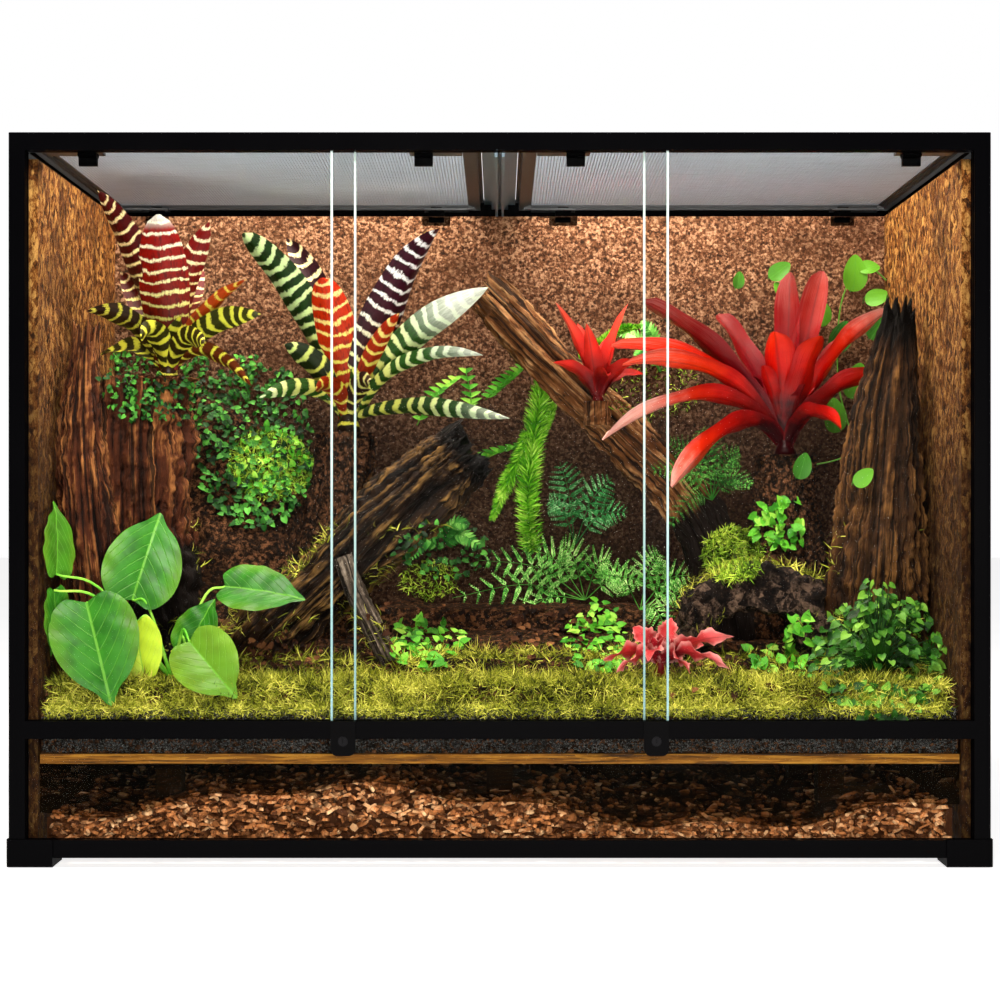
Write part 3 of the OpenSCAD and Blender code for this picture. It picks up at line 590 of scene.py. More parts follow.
GRAVEL = Granulate("gravel", "030303", "0e0e0e", "8a8a88", 520, 0.002, "060606")
FALSE_FLOOR = Granulate("false_floor", "301c0a", "7c4e16", "b07e30", 60, 0.0005, "7a4c14", "0c0704",
                        (0.121, 0.127), (0.15, 1, 4), 0.0)
ROCK = Granulate("rock", "050303", "241a16", "7a6252", 55, 0.012, "0e0a08")
CHIP_BROWN = Timber("chip_brown", "48260f", "cc844e", "ffd6a4", 0.0015, 0.62)
STUMP_RED = Timber("stump_red", "0e0502", "4e2410", "c88448", 0.01, 0.6)
STUMP_DARK = Timber("stump_dark", "0a0502", "38200c", "8c6030", 0.01, 0.75)
DRIFT_DARK = Timber("drift_dark", "040201", "221206", "a07840", 0.01, 0.45)
LOG_BROWN = Timber("log_brown", "120804", "70431f", "e4b27a", 0.007, 0.6)
TWIG_GREY = Timber("twig_grey", "100c0a", "50443a", "b4a292", 0.003, 0.7)
MOSS_GOLD = Foliage("moss_gold", "22260a", "949c22", "f4ee6c")
MOSS_BRIGHT = Foliage("moss_bright", "3c5a10", "8cb82a", "dcee5c")
FERN_LIGHT = Foliage("fern_light", "2c7a24", "74c850", "ccf49a")
FERN_TEAL = Foliage("fern_teal", "1c6a30", "44a858", "a4e4a0")
FERN_DARK = Foliage("fern_dark", "144814", "38882c", "8cd060")
CLUB_GREEN = Foliage("club_green", "3c8a10", "84d428", "d0f868")
IVY_GREEN = Foliage("ivy_green", "0a2408", "20581a", "5aa83c", 0.45)
FIG_GREEN = Foliage("fig_green", "10300a", "306a18", "80b43c", 0.4)
LIME_LEAF = Foliage("lime_leaf", "2f7a14", "62b82c", "b4ea58", 0.4)
STEM_BROWN = Foliage("stem_brown", "2c2412", "5d4c22", "8c7a3c")
LITTER = Foliage("litter", "140904", "3c2010", "7e5230", 0.8)
BANDED = BandedLeaf()
PURPLE = BandedLeaf("purple_leaf", (
    (0.0, "380a1c"), (0.3, "1c0406"), (0.55, "c42c04"), (0.78, "0e200a"), (1.0, "285c16")),
    ((0.0, "ffffff"), (0.3, "ffe470"), (0.55, "ffdc8c"), (0.78, "bcdc90"), (1.0, "d8ecc8")), 0.0185, 0.55,
    crest=(2.0, 3.0))
RED_LEAF = SoftLeaf()
CORAL_LEAF = SoftLeaf("coral_leaf", "5a060a", "d8281c", "f0583c", "ffb09c", "981018", 0.15, 0.25, "a81410", 0.3,
                      (2.0, 3.0))
PINK_LEAF = SoftLeaf("pink_leaf", "80101c", "d43c40", "f08080", "ffd8d0", "a81828", 0.1, 0.35, "f8b4ac", 0.7,
                     (2.0, 3.0))
HEART = HeartLeaf()
ROUND_LEAF = HeartLeaf("round_leaf", "1a6010", "0e4208", "4c8c2c", "5a9a20", 3.0)


# Mesh making


@dataclass
class Growth:
    """Gathers many small faces into one piece."""

    name: str
    verts: list[Vector] = field(default_factory=list)
    faces: list[tuple[int, ...]] = field(default_factory=list)
    spots: list[tuple[float, float]] = field(default_factory=list)
    tones: list[float] = field(default_factory=list)

    def add(self, verts: Sequence[Vector], faces: Iterable[Sequence[int]],
            spots: Sequence[tuple[float, float]] | None = None, tone: float | Sequence[float] = 0.5) -> None:
        """Adds one small mesh.

        Args:
            verts: Its points in metres.
            faces: Its faces by the points' numbers.
            spots: Each point's place on the leaf or along the grain.
            tone: The number that its points carry, or one for each.
        """
        first = len(self.verts)
        self.verts.extend(verts)
        self.faces.extend(tuple(first + i for i in f) for f in faces)
        self.spots.extend(spots or [(0.0, 0.0)] * len(verts))
        self.tones.extend([tone] * len(verts) if isinstance(tone, float | int) else tone)

    def grid(self, rows: Sequence[Sequence[Vector]], spots: Sequence[Sequence[tuple[float, float]]],
             tone: float | Sequence[float] = 0.5, round_: bool = False) -> None:
        """Adds a net of faces over rows of points, closed round each row if round_ is true."""
        wide = len(rows[0])
        last = wide if round_ else wide - 1
        faces = [(r * wide + c, r * wide + (c + 1) % wide, (r + 1) * wide + (c + 1) % wide, (r + 1) * wide + c)
                 for r in range(len(rows) - 1) for c in range(last)]
        self.add([p for row in rows for p in row], faces, [s for row in spots for s in row], tone)

    def piece(self, finish: Finish, body: str = "frame", stands_for: Sequence[str] = (),
              slot: str | None = None, smooth: bool = True) -> bpy.types.Object:
        """Makes the object, dresses it and lets it ride on a body.

        Args:
            finish: The finish of the whole piece.
            body: The CAD body that it moves with.
            stands_for: CAD nodes that it is shown in place of.
            slot: Not used.
            smooth: True for smooth shading.

        Returns:
            The new object.
        """
        mesh = bpy.data.meshes.new(self.name)
        mesh.from_pydata([tuple(v) for v in self.verts], [], self.faces)
        layer = mesh.uv_layers.new(name=SPOT)
        corners = [0] * len(mesh.loops)
        mesh.loops.foreach_get("vertex_index", corners)
        layer.data.foreach_set("uv", [n for i in corners for n in self.spots[i]])
        mesh.attributes.new(TONE, "FLOAT", "POINT").data.foreach_set("value", self.tones)
        mesh.polygons.foreach_set("use_smooth", [smooth] * len(mesh.polygons))
        mesh.materials.append(finish.material())
        made = bpy.data.objects.new(self.name, mesh)
        bpy.context.scene.collection.objects.link(made)
        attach(made, body)
        if stands_for:
            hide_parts(*stands_for)
        LOG.info("%s: %d faces", self.name, len(self.faces))
        return made


class Ground:
    """What the small plants grow on: they are found by a ray from the camera or from above."""

    def __init__(self) -> None:
        """Starts with nothing to stand on."""
        self.verts: list[Vector] = []
        self.faces: list[tuple[int, ...]] = []
        self.tree: BVHTree | None = None

    def take(self, growth: Growth) -> None:
        """Adds a piece's faces to what carries the plants."""
        first = len(self.verts)
        self.verts.extend(growth.verts)
        self.faces.extend(tuple(first + i for i in f) for f in growth.faces)

    def cast(self, start: Vector, way: Vector) -> tuple[Vector, Vector] | None:
        """The first point and normal that a ray meets, or None."""
        if self.tree is None:
            self.tree = BVHTree.FromPolygons(self.verts, self.faces)
        at, normal, _, _ = self.tree.ray_cast(start, way)
        if at is None:
            return None
        return at, normal if normal.dot(way) < 0 else -normal


@dataclass(frozen=True)
class Eye:
    """The camera of the photograph: its place, and its focal length in pixels."""

    place: Row = (0.0, -2.939, 0.4545)
    focal: float = 2136.0
    middle: tuple[float, float] = (499.7, 500.4)
    frame: float = 1000.0
    sensor: float = 36.0

    def at(self, x: float, y: float, depth: float) -> Vector:
        """The point seen at pixel x, y in the plane at that Y in millimetres."""
        far = (depth * MM - self.place[1]) / self.focal
        return Vector(((x - self.middle[0]) * far, depth * MM, self.place[2] - (y - self.middle[1]) * far))

    def land(self, ground: Ground, x: float, y: float) -> tuple[Vector, Vector]:
        """The point and normal of the ground seen at pixel x, y."""
        start = Vector(self.place)
        way = (self.at(x, y, 0) - start).normalized()
        return ground.cast(start, way) or (self.at(x, y, 240), Vector((0, -1, 0)))

    def shoot(self) -> None:
        """Makes the camera."""
        data = bpy.data.cameras.new("camera")
        data.sensor_width = self.sensor
        data.lens = self.focal / self.frame * self.sensor
        data.shift_x = (self.frame / 2 - self.middle[0]) / self.frame
        data.shift_y = (self.middle[1] - self.frame / 2) / self.frame
        data.clip_end = 30
        camera = bpy.data.objects.new("camera", data)
        camera.location = self.place
        camera.rotation_euler = (math.pi / 2, 0, 0)
        bpy.context.scene.collection.objects.link(camera)
        bpy.context.scene.camera = camera


@dataclass
class Studio:
    """Pale floor, white surroundings and soft lights."""

    floor_size: float = 14.0
    lights: Sequence[tuple] = (
        ("ceiling", (0.0, 0.0, 1.2), (0.0, 0.02, 0.3), (1.1, 0.3), 42.0, "fff0e0"),
        ("high_front", (-0.2, -1.6, 2.2), (0.0, 0.0, 0.3), (0.8, 0.4), 86.0, "fff6ea"),
        ("low_front", (0.2, -2.3, 0.5), (0.0, -0.25, 0.12), (1.4, 0.4), 20.0, "fff6ea"),
        ("left_strip", (-2.6, -0.6, 0.9), (0.0, 0.0, 0.45), (0.3, 1.6), 10.0, "ffffff"),
        ("right_strip", (2.6, -0.6, 0.9), (0.0, 0.0, 0.45), (0.3, 1.6), 10.0, "ffffff"),
    )

    def surround(self) -> None:
        """White behind the object, and a dimmer white for what lights it."""
        world = bpy.data.worlds.new("studio")
        bpy.context.scene.world = world
        world.use_nodes = True
        tree = world.node_tree
        tree.nodes.clear()
        path = tree.nodes.new("ShaderNodeLightPath")
        level = tree.nodes.new("ShaderNodeMapRange")
        level.inputs["To Min"].default_value = 0.11
        level.inputs["To Max"].default_value = 1.0
        back = tree.nodes.new("ShaderNodeBackground")
        back.inputs[0].default_value = (1, 1, 1, 1)
        out = tree.nodes.new("ShaderNodeOutputWorld")
        tree.links.new(path.outputs["Is Camera Ray"], level.inputs["Value"])
        tree.links.new(level.outputs[0], back.inputs[1])
        tree.links.new(back.outputs[0], out.inputs[0])

    def floor(self) -> None:
        """A plain pale floor."""
        shader = Shader("studio_floor")
        cloud = shader.noise(shader.place(), 3, 2)
        pale = shader.mix(tint("f4f4f4"), tint("fbfbfb"), cloud)
        material = shader.surface(Base_Color=pale, Roughness=0.8, Emission_Color=pale, Emission_Strength=0.85)
        mesh = bpy.data.meshes.new("studio_floor")
        s = self.floor_size
        mesh.from_pydata([(-s, -s, 0), (s, -s, 0), (s, s, 0), (-s, s, 0)], [], [(0, 1, 2, 3)])
        mesh.materials.append(material)
        made = bpy.data.objects.new("studio_floor", mesh)
        bpy.context.scene.collection.objects.link(made)

    def light(self) -> None:
        """Soft area lights that the camera doesn't see."""
        for name, place, target, size, power, colour in self.lights:
            data = bpy.data.lights.new(name, "AREA")
            data.shape = "RECTANGLE"
            data.size, data.size_y = size
            data.energy = power
            data.color = tint(colour)[:3]
            made = bpy.data.objects.new(name, data)
            made.location = place
            made.rotation_euler = (Vector(target) - Vector(place)).to_track_quat("-Z", "Y").to_euler()
            made.visible_camera = False
            bpy.context.scene.collection.objects.link(made)

    def shield(self, light: str, pieces: Iterable[bpy.types.Object]) -> None:
        """Keeps one light off some pieces, because it hangs close above them."""
        spared = bpy.data.collections.new(f"{light}_spares")
        for piece in pieces:
            spared.objects.link(piece)
        for entry in spared.collection_objects:
            entry.light_linking.link_state = "EXCLUDE"
        bpy.data.objects[light].light_linking.receiver_collection = spared

    def build(self) -> None:
        """Makes floor, surroundings and lights."""
        self.surround()
        self.floor()
        self.light()
        view = bpy.context.scene.view_settings
        view.view_transform = "Standard"
        view.look = "None"


# The tank


@dataclass
class Tank:
    """The black frame, panes, seals, locks and screens, which keep their CAD shapes."""

    nodes: dict
    dress: Sequence[tuple[Finish, Sequence[str]]] = (
        (FRAME_BLACK, ("base_rail_front", "base_rail_rear", "base_rails_side", "posts_front", "posts_rear",
                       "top_corners", "top_rail_front", "top_rail_rear", "top_rails_side", "mid_rail")),
        (BEAM_METAL, ("centre_beam",)),
        (FOOT_BLACK, ("corner_feet",)),
        (PAD_RUBBER, ("foot_pads",)),
        (Glass(), ("back_glass", "front_window", "door_left", "door_middle", "door_right")),
        (Glass("glass_side", Face.SIDE), ("left_glass", "right_glass")),
        (Glass("glass_floor", Face.FLOOR), ("bottom_glass",)),
        (SealStrip(), ("door_left_seal", "door_middle_seals", "door_right_seal")),
        (LOCK_BLACK, ("lock_body_left", "lock_body_right")),
        (LOCK_METAL, ("lock_cylinder_left", "lock_cylinder_right")),
        (SCREEN_METAL, ("screen_frame_left", "screen_frame_right")),
        (CORNER_GREY, ("screen_corners_left", "screen_corners_right")),
        (LATCH_BLACK, tuple(f"latch_{row}_{i}" for row in ("front", "rear") for i in (1, 2, 3, 4))),
        (Water(), ("water",)),
        (FALSE_FLOOR, ("false_bottom",)),
    )

    def build(self) -> None:
        """Gives each CAD node its finish."""
        for finish, names in self.dress:
            for name in names:
                slots = self.nodes[name].data.materials
                slots.clear()
                slots.append(finish.material())


@dataclass
class Net:
    """The woven wire of one screen, warp over weft."""

    side: str
    pitch: float = 4.0
    wire: float = 1.25
    weave: float = 0.16

    def build(self) -> bpy.types.Object:
        """Lays a flat strand for each wire of the net."""
        node = f"screen_net_{self.side}"
        low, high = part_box(node)
        growth = Growth(f"net_{self.side}")
        half = self.wire / 2 * MM
        lift = Vector((0, 0, self.weave * MM))
        middle = (low.z + high.z) / 2
        for axis in (0, 1):
            along, cross = (Vector((1, 0, 0)), Vector((0, 1, 0)))[::1 - 2 * axis]
            count = int((high - low).dot(cross) / (self.pitch * MM))
            start = Vector((low.x, low.y, middle)) + lift * (1 - 2 * axis)
            run = along * (high - low).dot(along)
            for i in range(count):
                at = start + cross * (i + 0.5) * self.pitch * MM
                ring = [at + cross * half, at + UP * half, at - cross * half, at - UP * half]
                growth.add([*ring, *[p + run for p in ring]],
                           [(k, (k + 1) % 4, (k + 1) % 4 + 4, k + 4) for k in range(4)])
        return growth.piece(NET_STEEL, f"screen_{self.side}", [node], "net_steel", False)


# Ground and wood


@dataclass
class CorkPanel:
    """A slab of pressed cork with a rough face.

    origin is a corner of the rough face, wide and tall run along it, and thick points behind it.
    """

    name: str
    origin: Row
    wide: Row
    tall: Row
    thick: Row
    finish: Finish = CORK_BACK
    stands_for: tuple[str, ...] = ()
    step: float = 7.0
    relief: float = 3.2
    notches: Sequence[tuple[float, float, float]] = ()

    def build(self, ground: Ground) -> None:
        """Makes the rough face and its rim."""
        origin, wide, tall, thick = (mm(*v) for v in (self.origin, self.wide, self.tall, self.thick))
        columns, rows = (max(2, round(v.length / MM / self.step)) for v in (wide, tall))
        back = thick.normalized()
        growth = Growth(self.name)
        for r in range(rows + 1):
            for c in range(columns + 1):
                p = origin + wide * (c / columns) + tall * (r / rows)
                rim = min(c, columns - c, r, rows - r) == 0
                lump = 0.0 if rim else noise.fractal(p * 55, 0.8, 2.1, 4) + 0.5 * noise.noise(p * 12)
                growth.add([p + back * (self.relief * MM * (0.8 - lump))], [])
        across = columns + 1
        for r in range(rows):
            for c in range(columns):
                a = r * across + c
                mid = (growth.verts[a] + growth.verts[a + across + 1]) / 2 / MM
                if any(lo < mid.x < hi and mid.z > top for lo, hi, top in self.notches):
                    continue
                growth.faces.append((a, a + 1, a + across + 1, a + across))
        edge = [*range(across), *[r * across + columns for r in range(1, rows + 1)],
                *[rows * across + c for c in range(columns - 1, -1, -1)],
                *[r * across for r in range(rows - 1, 0, -1)]]
        rim = [growth.verts[i] for i in edge]
        n = len(rim)
        growth.add([*rim, *[p + thick * 0.98 for p in rim]],
                   [*[(i, (i + 1) % n, (i + 1) % n + n, i + n) for i in range(n)], tuple(range(n, 2 * n))])
        growth.piece(self.finish, "frame", self.stands_for, "cork")
        ground.take(growth)


TERRACE = ((-281.5, 190), (-266, 192), (-252, 222), (-150, 224), (-122, 245), (-2, 248),
           (30, 262), (138, 264), (168, 298), (251.5, 302))


def terrace(y: float) -> float:
    """The soil's height in millimetres at depth y."""
    for (y0, z0), (y1, z1) in zip(TERRACE, TERRACE[1:]):
        if y <= y1:
            return z0 + (z1 - z0) * ease((y - y0) / (y1 - y0))
    return TERRACE[-1][1]


@dataclass
class SoilBed:
    """Dark soil in shallow steps, with a straight face behind the front glass."""

    half: float = 571.0
    front: float = -277.0
    rear: float = 251.0
    foot: float = 139.2
    step: float = 8.0

    def height(self, x: float, y: float) -> float:
        """The surface in millimetres, with lumps that fade at the front."""
        lump = noise.fractal(Vector((x, y, 3)) * 0.012, 1.0, 2.0, 4) * 9
        return terrace(y) + lump * ease((y - self.front) / 40) - 1

    def build(self, ground: Ground) -> None:
        """Makes the surface, the front face and the sides."""
        growth = Growth("soil_bed")
        columns = round(2 * self.half / self.step)
        rows = round((self.rear - self.front) / self.step)
        xs = [-self.half + 2 * self.half * c / columns for c in range(columns + 1)]
        ys = [self.front + (self.rear - self.front) * r / rows for r in range(rows + 1)]
        net = [[mm(x, self.front, self.foot) for x in xs],
               [mm(x, self.front, (self.foot + terrace(self.front)) / 2) for x in xs]]
        net += [[mm(x, y, self.height(x, y)) for x in xs] for y in ys]
        net += [[mm(x, self.rear, self.foot) for x in xs], net[0]]
        growth.grid(net, [[(p.x, p.y) for p in row] for row in net])
        growth.piece(BANK_SOIL, "frame", ["soil"], "soil")
        ground.take(growth)


@dataclass
class Bank:
    """A steep slope of roots and soil between the left stump and the trunk."""

    left: float = -571.0
    right: float = -192.0
    foot: float = 225.0
    rear: float = 250.0
    step: float = 9.0

    def top(self, x: float) -> float:
        """The crest's height in millimetres."""
        return 604 - 148 * min(1.0, max(0.0, (x + 420) / 230))

    def front(self, x: float, t: float) -> float:
        """The slope's depth at x and at a share t of its height."""
        back = 66 * t ** 1.2 * ease(t * 3)
        return 10 + back + (238 - back) * ease((x + 316) / 124)

    def build(self, ground: Ground) -> None:
        """Makes slope and crest."""
        growth = Growth("bank")
        columns = round((self.right - self.left) / self.step)
        rows = 44
        net = []
        for r in range(rows + 7):
            row = []
            t = min(1.0, r / rows)
            for c in range(columns + 1):
                x = self.left + (self.right - self.left) * c / columns
                y = self.front(x, t)
                z = self.foot + (self.top(x) - self.foot) * t
                if r > rows:
                    y += (self.rear - y) * (r - rows) / 6
                rough = noise.fractal(Vector((x, y, z)) * 0.016, 0.9, 2.1, 5)
                row.append(mm(x, min(self.rear, y - rough * 16), z + rough * 8))
            net.append(row)
        growth.grid(net, [[(p.x, p.z) for p in row] for row in net])
        growth.piece(BANK_SOIL, "frame", ["root_bank"], "soil")
        ground.take(growth)


def smooth_path(points: Sequence[Vector], count: int) -> list[Vector]:
    """A Catmull-Rom curve through the points, as that many points."""
    ends = [points[0] * 2 - points[1], *points, points[-1] * 2 - points[-2]]
    made = []
    for i in range(count):
        t = i / (count - 1) * (len(points) - 1)
        k = min(int(t), len(points) - 2)
        f = t - k
        a, b, c, d = ends[k:k + 4]
        made.append(0.5 * (2 * b + (c - a) * f + (2 * a - 5 * b + 4 * c - d) * f * f
                           + (3 * b - a - 3 * c + d) * f ** 3))
    return made


def ladder(values: Sequence[float], t: float) -> float:
    """A value from an even ladder of numbers at share t."""
    at = t * (len(values) - 1)
    k = min(int(at), len(values) - 2)
    return values[k] + (values[k + 1] - values[k]) * (at - k)


def tube(growth: Growth, path: Sequence[Vector], radius: Callable[[float, float], float], sides: int,
         tone: float | Callable[[float, float], float] = 0.5, ends: bool = True) -> None:
    """Sweeps a ring along a path.

    Args:
        growth: Where the faces go.
        path: The middle line in metres.
        radius: The radius in metres by share along and angle.
        sides: How many points go round.
        tone: The number that the points carry, or how it goes by share along and angle.
        ends: True to close both ends.
    """
    rows, spots, tones = [], [], []
    way = (path[1] - path[0]).normalized()
    side = way.orthogonal().normalized()
    turn = [2 * math.pi * k / sides for k in range(sides)]
    wide = sum(radius(0.5, a) for a in turn) / sides
    run = 0.0
    for i, at in enumerate(path):
        ahead = path[min(i + 1, len(path) - 1)] - path[max(i - 1, 0)]
        if ahead.length > 0:
            way = ahead.normalized()
        side = (side - way * side.dot(way)).normalized()
        other = way.cross(side)
        if i:
            run += (at - path[i - 1]).length
        share = i / (len(path) - 1)
        ring = [at + (side * math.cos(a) + other * math.sin(a)) * radius(share, a) for a in turn]
        rows.append(ring)
        tones.append([tone(share, a) if callable(tone) else tone for a in turn])
        spots.append([(wide * (2 * abs(a - math.pi)), run) for a in turn])
    if ends:
        for at in (0, -1):
            middle = sum(rows[at], Vector()) / sides
            cap = [middle.lerp(p, 0.04) for p in rows[at]]
            where = 0 if at == 0 else len(rows)
            rows.insert(where, cap)
            tones.insert(where, tones[at])
            spots.insert(where, [(s[0] * 0.1, s[1] + 0.01) for s in spots[at]])
    growth.grid(rows, spots, [t for row in tones for t in row], True)


@dataclass
class Log:
    """A branch, log or stump with torn fibres."""

    name: str
    path: Sequence[Row]
    radii: Row
    rings: int = 70
    sides: int = 72
    lobes: float = 0.16
    fibre: float = 0.1
    tear: float = 10.0
    cut: float | None = None
    flat: tuple[float, float] = (1.0, 1.0)
    seed: int = 1
    # Shares of the length below and above which the tone darkens.
    soot: tuple[float, float] = (-1.0, 2.0)

    def shade(self, share: float, angle: float) -> float:
        """The tone of the wood: painted light on raised fibres, painted shade in the grooves, and darker below and
        above two shares of its length.
        """
        low, high = self.soot
        dark = 1 - ease((share - low) * 9) + ease((share - high) * 6)
        # Painted light and shade: the relief that raises the fibres lightens the tone, and the grooves darken it.
        return 0.5 + 0.6 * self.relief(share, angle) - 1.1 * dark

    def relief(self, share: float, angle: float) -> float:
        """How far the torn fibres stand out, about -1 to 1."""
        round_ = Vector((math.cos(angle), math.sin(angle), 0))
        long = share * 3
        ridge = 1 - 2.2 * abs(noise.noise(round_ * 3.4 + Vector((self.seed * 3, 0, long * 0.7))))
        strand = 1 - 2.2 * abs(noise.noise(round_ * 9 + Vector((0, self.seed, long * 1.1))))
        chip = noise.fractal(round_ * 6 + Vector((0, 0, long * 9 + self.seed)), 0.7, 2.2, 4)
        return 0.55 * ridge + 0.3 * strand + 0.35 * chip - 0.25

    def radius(self, share: float, angle: float) -> float:
        """The radius in metres, with lobes and fibres."""
        base = ladder(self.radii, share)
        round_ = Vector((math.cos(angle), math.sin(angle), 0))
        lobe = noise.fractal(round_ * 1.1 + Vector((0, 0, share * 3 + self.seed * 7)), 1.0, 2.0, 3)
        oval = 1 + (self.flat[0] - 1) * math.cos(angle) ** 2 + (self.flat[1] - 1) * math.sin(angle) ** 2
        return base * MM * oval * (1 + self.lobes * lobe + self.fibre * self.relief(share, angle))

    def build(self, growth: Growth) -> None:
        """Sweeps the wood, cuts it at its seat and tears its end."""
        path = smooth_path([mm(*p) for p in self.path], self.rings)
        first = len(growth.verts)
        tube(growth, path, self.radius, self.sides, self.shade)
        way = (path[-1] - path[-4]).normalized()
        torn = [i for i in range(len(growth.verts) - self.sides * 5, len(growth.verts))]
        if self.cut is None:
            for i in torn:
                p = growth.verts[i]
                growth.verts[i] = p + way * (self.tear * MM * noise.noise(p * 130 + Vector((self.seed, 0, 0))))
            return
        for i in range(first, len(growth.verts)):
            p = growth.verts[i]
            limit = self.cut * MM + self.tear * MM * 0.3 * noise.noise(p * 90)
            if p.z > limit:
                p.z = limit


@dataclass
class Wood:
    """Several logs of one finish as one piece."""

    name: str
    logs: Sequence[Log]
    finish: Finish
    slot: str
    stands_for: tuple[str, ...] = ()

    def build(self, ground: Ground) -> None:
        """Builds the logs into one mesh."""
        growth = Growth(self.name)
        for log in self.logs:
            log.build(growth)
        growth.piece(self.finish, "frame", self.stands_for, self.slot)
        ground.take(growth)


@dataclass
class Boulder:
    """The cave rock: the CAD solid made rough."""

    node: str = "cave_rock"
    voxel: float = 5.0
    relief: float = 11.0

    def build(self, nodes: dict, ground: Ground) -> None:
        """Remeshes a copy of the solid and pushes its points in and out."""
        mesh = nodes[self.node].data.copy()
        work = bpy.data.objects.new("work", mesh)
        bpy.context.scene.collection.objects.link(work)
        remesh = work.modifiers.new("remesh", "REMESH")
        remesh.mode, remesh.voxel_size = "VOXEL", self.voxel * MM
        smooth = work.modifiers.new("smooth", "SMOOTH")
        smooth.factor, smooth.iterations = 0.6, 6
        done = work.evaluated_get(bpy.context.evaluated_depsgraph_get()).to_mesh()
        growth = Growth("cave_stone")
        verts = []
        for v in done.vertices:
            lump = noise.fractal(v.co * 26, 0.9, 2.1, 5) + 0.6 * abs(noise.noise(v.co * 60))
            verts.append(v.co + v.normal * (self.relief * MM * (lump - 0.35)))
        growth.add(verts, [tuple(p.vertices) for p in done.polygons], [(v.x, v.z) for v in verts])
        work.evaluated_get(bpy.context.evaluated_depsgraph_get()).to_mesh_clear()
        bpy.data.objects.remove(work)
        growth.piece(ROCK, "frame", [self.node], "rock")
        ground.take(growth)


@dataclass
class ChipBed:
    """Wood chips on the tank's floor, pressed against the front glass."""

    half: float = 568.0
    front: float = -281.0
    rear: float = 250.0
    floor: float = 22.5
    chips: int = 4200
    seed: int = 11

    def top(self, x: float) -> float:
        """The pile's height in millimetres, as in the CAD solid."""
        return 74 + 22 * math.cos(math.radians((x + 180) * 0.42)) + 7 * math.sin(math.radians(x * 1.7)) - x * 0.012

    def chip(self, growth: Growth, at: Vector, size: Row, rng: random.Random) -> None:
        """Adds one splintered chip."""
        spin = Matrix.Rotation(rng.uniform(0, 6.3), 3, "Z") @ Matrix.Rotation(rng.gauss(0, 0.5), 3, "X")
        spin = Matrix.Rotation(rng.gauss(0, 0.35), 3, "Y") @ spin
        n = 6
        rim = [(math.cos(2 * math.pi * k / n + 0.3) * rng.uniform(0.7, 1.1),
                math.sin(2 * math.pi * k / n + 0.3) * rng.uniform(0.7, 1.1)) for k in range(n)]
        low = [at + spin @ mm(x * size[0], y * size[1], -size[2]) for x, y in rim]
        high = [at + spin @ mm(x * size[0] * 0.86, y * size[1] * 0.8, size[2]) for x, y in rim]
        faces = [(k, (k + 1) % n, (k + 1) % n + n, k + n) for k in range(n)]
        faces += [tuple(range(n))[::-1], tuple(range(n, 2 * n))]
        shift = rng.uniform(0, 5)
        spots = [(x * size[1] * MM + shift, y * size[0] * MM + shift) for x, y in rim] * 2
        growth.add([*low, *high], faces, spots, rng.random())

    def build(self) -> None:
        """Fills the front face and the top with chips over a dark bed, whose low tone paints the shade between the
        chips.
        """
        rng = random.Random(self.seed)
        growth = Growth("chip_bed")
        columns, rows = 120, 30
        net = []
        for r in range(rows + 2):
            y = self.front + 22 + (self.rear - self.front - 22) * max(0, r - 1) / rows
            row = []
            for c in range(columns + 1):
                x = -self.half + 2 * self.half * c / columns
                z = self.floor if r == 0 else self.top(x) - 7 + 3 * noise.noise(mm(x, y, 0) * 40)
                row.append(mm(x, y, z))
            net.append(row)
        # Painted shade: the bed's low tone shows dark in the gaps between the chips.
        growth.grid(net, [[(p.x, p.y + p.z) for p in row] for row in net], 0.1)
        for i in range(self.chips):
            x = rng.uniform(-self.half + 12, self.half - 12)
            size = (rng.uniform(5, 16), rng.uniform(2.5, 7.5), rng.uniform(0.8, 2.2))
            if i % 2:
                y = self.front + 14 + rng.random() ** 1.6 * 500
                z = self.top(x) - rng.uniform(0, 5)
            else:
                y = self.front + rng.uniform(9, 20)
                z = rng.uniform(self.floor + 6, self.top(x))
            self.chip(growth, mm(x, y, z), size, rng)
        growth.piece(CHIP_BROWN, "frame", ["wood_chips"], "chips", False)


@dataclass
class GravelFace:
    """Black grains against the front glass and along the soil's front edge."""

    half: float = 569.0
    front: float = -281.3
    low: float = 140.0
    high: float = 193.0
    grains: int = 15000
    seed: int = 5

    def build(self) -> None:
        """Scatters small grains."""
        rng = random.Random(self.seed)
        growth = Growth("gravel_edge")
        for i in range(self.grains):
            size = rng.uniform(1.0, 2.4)
            x = rng.uniform(-self.half, self.half)
            if i % 5:
                at = (x, self.front + size + rng.random() * 1.6, rng.uniform(self.low + 1, self.high))
            else:
                at = (x, self.front + size + rng.random() * 16, self.high + rng.uniform(-1, 1.5))
            corner = [mm(*at) + Vector(d) * (size * MM * rng.uniform(0.7, 1.1)) for d in (
                (1, 0, 0), (0, 1, 0), (-1, 0, 0), (0, -0.9, 0), (0, 0, 1), (0, 0, -1))]
            growth.add(corner, [(0, 1, 4), (1, 2, 4), (2, 3, 4), (3, 0, 4),
                                (1, 0, 5), (2, 1, 5), (3, 2, 5), (0, 3, 5)], None, rng.random())
        growth.piece(GRAVEL, "frame", (), "soil", False)


# Plants


def heading(x: float, y: float) -> Vector:
    """The flat direction towards x, y."""
    return Vector((x, y, 0)).normalized()


